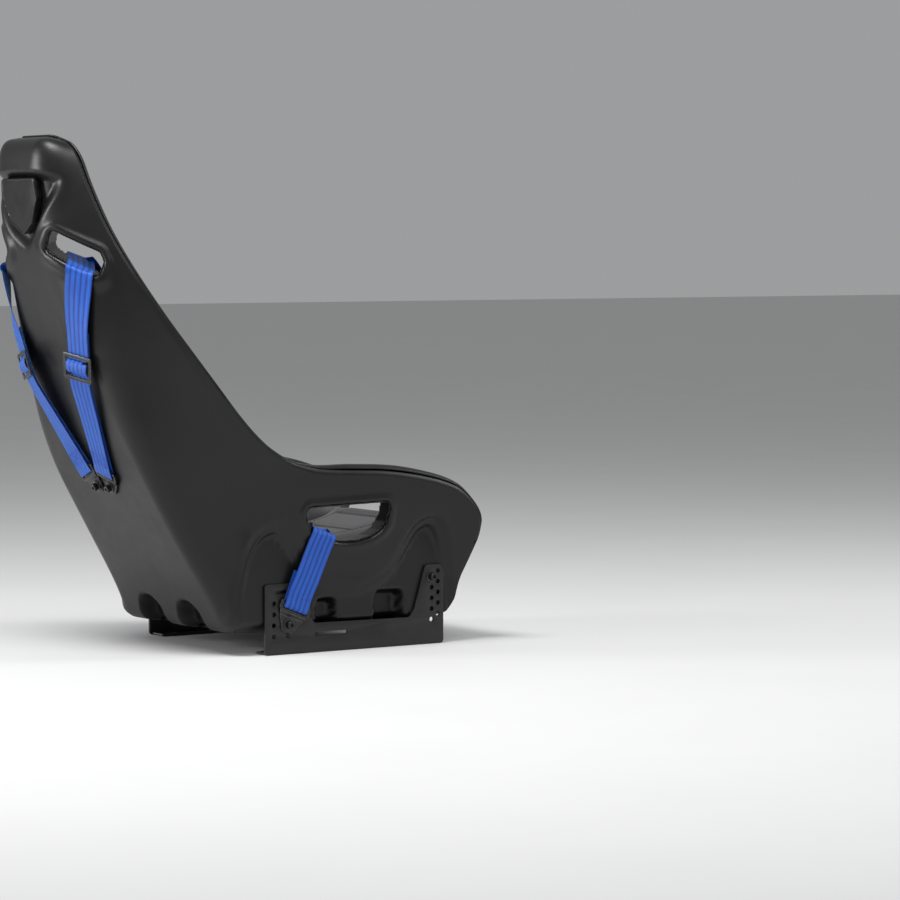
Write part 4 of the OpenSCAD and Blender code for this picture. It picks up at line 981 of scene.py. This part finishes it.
# ---------- stitches, as a node tree with named inputs ----------
def stitchTree():
    tree = bpy.data.node_groups.new("stitchRun", "GeometryNodeTree")
    tree.interface.new_socket("Geometry", in_out="OUTPUT", socket_type="NodeSocketGeometry")
    for name, kind, value in (("Geometry", "Geometry", None), ("Pitch", "Float", 0.004), ("Length", "Float",
        0.003),
                              ("Radius", "Float", 0.0004), ("Unevenness", "Float", 0.12), ("Seed", "Int", 4),
                              ("Thread", "Material", None)):
        socket = tree.interface.new_socket(name, in_out="INPUT", socket_type="NodeSocket" + kind)
        if value is not None:
            socket.default_value = value
    add, link = tree.nodes.new, tree.links.new
    given, result = add("NodeGroupInput"), add("NodeGroupOutput")
    curve, spaced, bead = add("GeometryNodeMeshToCurve"), add("GeometryNodeResampleCurve"), add(
        "GeometryNodeMeshIcoSphere")
    placed, turned, tangent = (add("GeometryNodeInstanceOnPoints"), add("FunctionNodeAlignRotationToVector"),
                               add("GeometryNodeInputTangent"))
    size, vary, wide, half, low = (add("ShaderNodeCombineXYZ"), add("FunctionNodeRandomValue"),
                                   add("ShaderNodeMath"), add("ShaderNodeMath"), add("ShaderNodeMath"))
    real, shaded, painted = (add("GeometryNodeRealizeInstances"), add("GeometryNodeSetShadeSmooth"),
                             add("GeometryNodeSetMaterial"))
    spaced.mode, bead.inputs["Subdivisions"].default_value, turned.axis = "LENGTH", 2, "Z"
    bead.inputs["Radius"].default_value = 1
    low.operation, half.operation, wide.operation = "SUBTRACT", "MULTIPLY", "MULTIPLY"
    low.inputs[0].default_value, half.inputs[1].default_value = 1.0, 0.5
    link(given.outputs["Geometry"], curve.inputs[0])
    link(curve.outputs[0], spaced.inputs[0])
    link(given.outputs["Pitch"], spaced.inputs["Length"])
    link(spaced.outputs[0], placed.inputs["Points"])
    link(bead.outputs[0], placed.inputs["Instance"])
    link(tangent.outputs[0], turned.inputs["Vector"])
    link(turned.outputs[0], placed.inputs["Rotation"])
    link(given.outputs["Unevenness"], low.inputs[1])
    link(low.outputs[0], vary.inputs[2])
    vary.inputs[3].default_value = 1.0
    link(given.outputs["Seed"], vary.inputs["Seed"])
    link(given.outputs["Length"], half.inputs[0])
    link(half.outputs[0], wide.inputs[0])
    link(vary.outputs[1], wide.inputs[1])
    link(given.outputs["Radius"], size.inputs[0])
    link(given.outputs["Radius"], size.inputs[1])
    link(wide.outputs[0], size.inputs[2])
    link(size.outputs[0], placed.inputs["Scale"])
    link(placed.outputs[0], real.inputs[0])
    link(real.outputs[0], shaded.inputs[0])
    link(shaded.outputs[0], painted.inputs[0])
    link(given.outputs["Thread"], painted.inputs["Material"])
    link(painted.outputs[0], result.inputs[0])
    return tree


stitchNodes = stitchTree()


def stitched(name, runs, body, finish, pitch=4.0, length=3.1, radius=0.42, seed=4):
    # thread along polylines given in millimetres
    points, edges = [], []
    for run in runs:
        edges += [(len(points) + i, len(points) + i + 1) for i in range(len(run) - 1)]
        points += [tuple(np.asarray(p) * mm) for p in run]
    mesh = bpy.data.meshes.new(name)
    mesh.from_pydata(points, edges, [])
    made = bpy.data.objects.new(name, mesh)
    bpy.context.scene.collection.objects.link(made)
    sewn = made.modifiers.new("sewn", "NODES")
    sewn.node_group = stitchNodes
    values = {"Pitch": pitch * mm, "Length": length * mm, "Radius": radius * mm, "Seed": seed,
        "Thread": finishes[finish]}
    for item in stitchNodes.interface.items_tree:
        if item.in_out == "INPUT" and item.name in values:
            sewn[item.identifier] = values[item.name]
    baked(made)
    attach(made, body), made
    return made


def flat(at, across, up, out, rows, side, lift=1.25):
    # a closed run of stitching over a strap, from points (across, along)
    return [(at + across * a + up * b + out * lift) * vec(side, 1, 1) for a, b in rows]


box = [(-20, 0), (20, 0), (20, 22), (-20, 22), (-20, 0), (20, 22)]
for side, label in ((1, "left"), (-1, "right")):
    low = flat(atAnchor(50, 8.9), anchorAcross, anchorUp, anchorOut, box + [(20, 0), (-20, 22)], side)
    stitched("anchorStitch" + label.title(), [low], "seat", "blueThread", 3.4, 2.7, 0.4)
    lapUp = vec(0, -math.sin(lapTurn), math.cos(lapTurn))
    low = flat(atLapPlate(52, 9.6), lapAcross, lapUp, vec(1, 0.0, 0), [(a, b * 0.9) for a, b in box], side,
        1.0)
    stitched("lapStitch" + label.title(), [low], "seat", "blueThread", 3.4, 2.7, 0.4)
print("webbing sewn")


# ---------- loose cushions ----------
padGap = 3.4
cushions = {
    # stations along and across the seat side, thickness, where the channels run
    "head_pad": {"along": (0.9, 2.6), "across": (-0.6, 0.6), "high": 24, "rows": [], "lines": [-0.34, 0.34],
                 "grooveK": []},
    "back_pad": {"along": (3.9, 5.7), "across": (-0.53, 0.53), "high": 28, "lines": [-0.33, 0.33],
                 "grooveK": [4.35, 4.8, 5.25]},
    "lumbar_pad": {"along": (5.85, 7.1), "across": (-0.53, 0.53), "high": 28, "lines": [-0.33, 0.33],
                   "grooveK": [6.27, 6.68]},
    "seat_pad": {"along": (8.6, 13.7), "across": (-0.53, 0.53), "high": 32, "lines": [-0.33, 0.33],
                 "grooveK": [9.6, 10.6, 11.6, 12.6]},
    "bolster_pad_left": {"along": (5.2, 7.0), "across": (0.66, 0.94), "high": 20, "lines": [0.8],
        "grooveK": []},
    "bolster_pad_right": {"along": (5.2, 7.0), "across": (-0.94, -0.66), "high": 20, "lines": [-0.8],
        "grooveK": []},
}
foam = {"cell": 5.0, "pressure": 4.0, "frames": 20, "most": 7.0, "groove": 3.4, "grooveWidth": 2.4,
    "piping": 1.7,
        "soft": 20}


def lifted(k, t, high):
    return seatSmooth(k, t) - normalOf(seatSmooth, k, t) * np.asarray(high)[..., None]


def puffed(made, held):
    # air pressure fills the cover, the underside is held
    scene = bpy.context.scene
    group = made.vertex_groups.new(name="held")
    group.add(held, 1.0, "ADD")
    cloth = made.modifiers.new("cloth", "CLOTH")
    s = cloth.settings
    s.quality, s.mass, s.use_pressure, s.uniform_pressure_force = 6, 0.3, True, foam["pressure"]
    s.tension_stiffness = s.compression_stiffness = 22
    s.shear_stiffness, s.bending_stiffness, s.air_damping = 8, 0.8, 2
    s.vertex_group_mass, s.effector_weights.gravity = "held", 0
    cloth.collision_settings.use_collision = cloth.collision_settings.use_self_collision = False
    cloth.point_cache.frame_start, cloth.point_cache.frame_end = 1, foam["frames"]
    for frameAt in range(1, foam["frames"] + 1):
        scene.frame_set(frameAt)
    shaped = made.evaluated_get(bpy.context.evaluated_depsgraph_get()).to_mesh()
    new = np.array([v.co for v in shaped.vertices])
    old = np.array([v.co for v in made.data.vertices])
    moved = new - old
    far = np.linalg.norm(moved, axis=1, keepdims=True)
    new = old + moved * np.minimum(1, foam["most"] * mm / np.maximum(far, 1e-9))
    made.modifiers.remove(cloth)
    made.data.vertices.foreach_set("co", new.ravel())
    scene.frame_set(1)
    return float(far.max() / mm)


def cushion(name, spec):
    (k0, k1), (t0, t1), high = spec["along"], spec["across"], spec["high"]
    n, m = 40, 36
    k, t = np.meshgrid(np.linspace(k0, k1, n), np.linspace(t0, t1, m), indexing="ij")
    base = seatSmooth(k, t)
    toEdge = np.minimum(np.minimum(np.linalg.norm(base - base[:1], axis=2), np.linalg.norm(base - base[-1:],
        axis=2)),
                        np.minimum(np.linalg.norm(base - base[:, :1], axis=2),
                                   np.linalg.norm(base - base[:, -1:], axis=2)))
    swell = 0.42 + 0.58 * np.sqrt(1 - (1 - np.minimum(1, toEdge / foam["soft"])) ** 2)
    top, under = lifted(k, t, padGap + high * swell), lifted(k, t, np.full(k.shape, padGap + 0.2))
    bm = bmesh.new()
    a = [[bm.verts.new(Vector(p) * mm) for p in row] for row in top]
    b = [[bm.verts.new(Vector(p) * mm) for p in row] for row in under]
    for i in range(n - 1):
        for j in range(m - 1):
            bm.faces.new((a[i][j], a[i][j + 1], a[i + 1][j + 1], a[i + 1][j]))
            bm.faces.new((b[i][j], b[i + 1][j], b[i + 1][j + 1], b[i][j + 1]))
    edge = [(0, j) for j in range(m)] + [(i, m - 1) for i in range(1, n)] + [(n - 1,
        j) for j in range(m - 2, -1, -1)] + [
        (i, 0) for i in range(n - 2, 0, -1)]
    for (i, j), (p, q) in zip(edge, edge[1:] + edge[:1]):
        bm.faces.new((a[i][j], b[i][j], b[p][q], a[p][q]))
    bmesh.ops.recalc_face_normals(bm, faces=bm.faces)
    title = name.title().replace("_", "")
    made = finished(title[0].lower() + title[1:], bm, finishes["knit"])
    cells = made.modifiers.new("cells", "REMESH")
    cells.mode, cells.voxel_size = "VOXEL", foam["cell"] * mm
    baked(made)
    fine = seatSmooth(*np.meshgrid(np.linspace(k0, k1, 120), np.linspace(t0, t1, 110), indexing="ij"))
    ways = normalOf(seatSmooth, *np.meshgrid(np.linspace(k0, k1, 120), np.linspace(t0, t1, 110),
        indexing="ij"))
    fine, ways = fine.reshape(-1, 3), ways.reshape(-1, 3)
    tree = KDTree(len(fine))
    for i, p in enumerate(fine):
        tree.insert(p * mm, i)
    tree.balance()

    def seen(mesh):
        # nearest place on the seat side under each vertex, and height over it
        where = np.array([v.co for v in mesh.vertices]) / mm
        near = np.array([tree.find(p * mm)[1] for p in where])
        return where, near, -((where - fine[near]) * ways[near]).sum(1)

    where, near, height = seen(made.data)
    moved = puffed(made, [int(i) for i in np.where(height < padGap + 2.5)[0]])
    finer = made.modifiers.new("finer", "SUBSURF")
    finer.levels = finer.render_levels = 1
    baked(made)
    lines = [[(kk, t) for kk in np.linspace(k0 + (k1 - k0) * 0.07, k1 - (k1 - k0) * 0.07,
        160)] for t in spec["lines"]]
    if len(spec["lines"]) > 1:
        lines += [[(kk, t) for t in np.linspace(spec["lines"][0], spec["lines"][-1],
            90)] for kk in spec["grooveK"]]
    run = np.array([p for line in lines for p in line])
    seam = seatSmooth(run[:, 0], run[:, 1])
    seamTree = KDTree(len(seam))
    for i, p in enumerate(seam):
        seamTree.insert(p * mm, i)
    seamTree.balance()
    where, near, height = seen(made.data)
    away = np.array([seamTree.find(p * mm)[2] for p in fine[near]]) / mm
    crown = 1.6 * (1 - np.exp(-(away / 14) ** 2))  # each panel swells between its seams
    down = foam["groove"] * np.exp(-(away / foam["grooveWidth"]) ** 2) - crown
    down = down * step((height - padGap - high * 0.55) / (high * 0.3))
    where = where + ways[near] * down[:, None]
    made.data.vertices.foreach_set("co", (where * mm).ravel())
    made.data.update()
    made.data.shade_smooth()
    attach(made, "seat"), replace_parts(made, name), made, made
    skin = BVHTree.FromObject(made, bpy.context.evaluated_depsgraph_get())
    sewn = []
    for line in lines:  # thread on both sides of each channel
        pk, pt = np.array(line).T
        p, w = seatSmooth(pk, pt), normalOf(seatSmooth, pk, pt)
        aside = unit(np.cross(unit(np.gradient(p, axis=0)), w))
        for shift in (-4.2, 4.2):
            hits = [skin.ray_cast(Vector(q - d * (high + 40)) * mm, Vector(d)) for q,
                d in zip(p + aside * shift, w)]
            sewn.append([np.array(h[0]) / mm - d * 0.12 for h, d in zip(hits, w) if h[0] is not None])
    stitched(made.name + "Thread", [s for s in sewn if len(s) > 3], "seat", "thread", 4.4,
        3.3, 0.42)
    # piping round the seam of the cover
    ek, et = np.array([(k[i, j], t[i, j]) for i, j in edge]).T
    middle = lifted(ek, et, np.full(ek.shape, padGap + high * 0.42))
    outwards = unit(middle - middle.mean(0))
    found = [skin.find_nearest(Vector(p + o * 4) * mm) for p, o in zip(middle, outwards)]
    ring = np.array([f[0] for f in found]) / mm
    for _ in range(3):
        ring = ring * 0.5 + 0.25 * (np.roll(ring, 1, 0) + np.roll(ring, -1, 0))
    tube(made.name + "Piping", ring, foam["piping"], "suede")
    return moved


def tube(name, ring, radius, finish):
    # closed round cord through points in millimetres
    tangent = unit(np.roll(ring, -1, 0) - np.roll(ring, 1, 0))
    up = unit(np.cross(tangent, ring - ring.mean(0)))
    other = np.cross(tangent, up)
    bm = bmesh.new()
    rows = [[bm.verts.new(Vector(p + (u * math.cos(a) + o * math.sin(a)) * radius) * mm)
             for a in np.linspace(0, 2 * math.pi, 10, endpoint=False)] for p, u, o in zip(ring, up, other)]
    for i in range(len(rows)):
        for j in range(10):
            bm.faces.new((rows[i][j], rows[i][(j + 1) % 10], rows[(i + 1) % len(rows)][(j + 1) % 10],
                          rows[(i + 1) % len(rows)][j]))
    bmesh.ops.recalc_face_normals(bm, faces=bm.faces)
    made = finished(name, bm, finishes[finish])
    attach(made, "seat"), made
    return made


for name, spec in cushions.items():
    print("cushion", name, "moved %.1f mm at most" % cushion(name, spec))


# ---------- pad under the buckle ----------
underPad = {"at": (0, -126, 184), "half": 42, "turn": 10, "high": 3.7, "cell": 2.0}


def bucklePad():
    half, turn = underPad["half"], underPad["turn"]
    corner = [(sx * (half - turn) + turn * math.cos(a), sy * (half - turn) + turn * math.sin(a))
              for sx, sy, a0 in ((1, 1, 0), (-1, 1, 90), (-1, -1, 180), (1, -1, 270))
              for a in np.radians(np.linspace(a0, a0 + 90, 10))]
    outline = np.array(corner)
    bm, rows = bmesh.new(), []
    for shrink, h in ((0.985, 0.0), (1.0, 1.0), (1.0, 2.2), (0.985, 3.0), (0.95, 3.35), (0.91, 2.8), (0.87,
        3.4),
                      (0.7, 3.7), (0.4, 3.7), (0.12, 3.7)):
        rows.append([bm.verts.new((vec(*underPad["at"]) + vec(x * shrink, y * shrink, h)) * mm) for x,
            y in outline])
    for a, b in zip(rows, rows[1:]):
        for j in range(len(a)):
            bm.faces.new((a[j], a[(j + 1) % len(a)], b[(j + 1) % len(a)], b[j]))
    for row in (rows[0][::-1], rows[-1]):
        middle = bm.verts.new(sum((v.co for v in row), Vector()) / len(row))
        for j in range(len(row)):
            bm.faces.new((row[j], row[(j + 1) % len(row)], middle))
    bmesh.ops.recalc_face_normals(bm, faces=bm.faces)
    made = finished("bucklePad", bm, finishes["suede"])
    finer = made.modifiers.new("finer", "SUBSURF")
    finer.levels = finer.render_levels = 1
    baked(made)
    made.data.shade_smooth()
    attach(made, "seat"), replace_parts(made, "buckle_pad"), made, made
    ring = [vec(*underPad["at"]) + vec(x * 0.91, y * 0.91, 3.15) for x, y in list(outline) + [outline[0]]]
    stitched("bucklePadThread", [ring], "seat", "thread", 3.2, 2.4, 0.35)


bucklePad()
print("cushions done")




# ---------- camera, light and floor ----------
view = {"place": (-5.517, 3.213, 0.713), "towards": (0.8292, -0.5560, -0.0580), "roll": -0.09, "lens": 144.7}
camera = bpy.data.objects.new("camera", bpy.data.cameras.new("camera"))
bpy.context.scene.collection.objects.link(camera)
camera.data.lens, camera.data.sensor_width, camera.data.clip_end = view["lens"], 36, 100
turn = Vector(view["towards"]).to_track_quat("-Z", "Y").to_matrix().to_4x4()
camera.matrix_world = Matrix.Translation(view["place"]) @ turn @ Matrix.Rotation(math.radians(view["roll"]),
    4, "Z")
bpy.context.scene.camera = camera

room = {"floor": (0.66, 0.66, 0.66), "sky": (0.93, 0.94, 0.95), "skyPower": 0.36}
lamps = [
    # name, place, aims at, width, height, watts
    ("overhead", (-0.7, 1.3, 3.0), (0, 0.2, 0.6), 1.3, 0.9, 90),
    ("backLow", (1.7, 3.4, 0.9), (0, 0.1, 0.35), 1.0, 1.6, 80),
    ("sideStrip", (-2.6, 0.3, 3.2), (0, 0, 0.3), 0.4, 2.4, 34),
    ("frontHigh", (-1.6, -3.0, 1.9), (0, -0.1, 0.4), 0.9, 1.4, 40),
]
bm = bmesh.new()
bmesh.ops.create_grid(bm, x_segments=8, y_segments=8, size=30)
for v in bm.verts:
    v.co.z = -0.0006
paper = Finish("paperFloor", room["floor"], 0.85)
paper.feed("Base Color", paper.blend(paper.noise(3.0, 3.0), (0.64, 0.64, 0.64, 1), (0.68, 0.68, 0.68, 1)))
floor = finished("floor", bm, paper.material)
world = bpy.data.worlds.new("studio")
bpy.context.scene.world = world
world.use_nodes = True
world.node_tree.nodes["Background"].inputs[0].default_value = (*room["sky"], 1)
world.node_tree.nodes["Background"].inputs[1].default_value = room["skyPower"]
for name, place, aim, width, height, watts in lamps:
    lamp = bpy.data.lights.new(name, "AREA")
    lamp.shape, lamp.size, lamp.size_y, lamp.energy = "RECTANGLE", width, height, watts
    held = bpy.data.objects.new(name, lamp)
    bpy.context.scene.collection.objects.link(held)
    held.matrix_world = Matrix.Translation(place) @ (Vector(aim) - Vector(place)).to_track_quat(
        "-Z", "Y").to_matrix().to_4x4()
bpy.context.scene.view_settings.view_transform = "Standard"
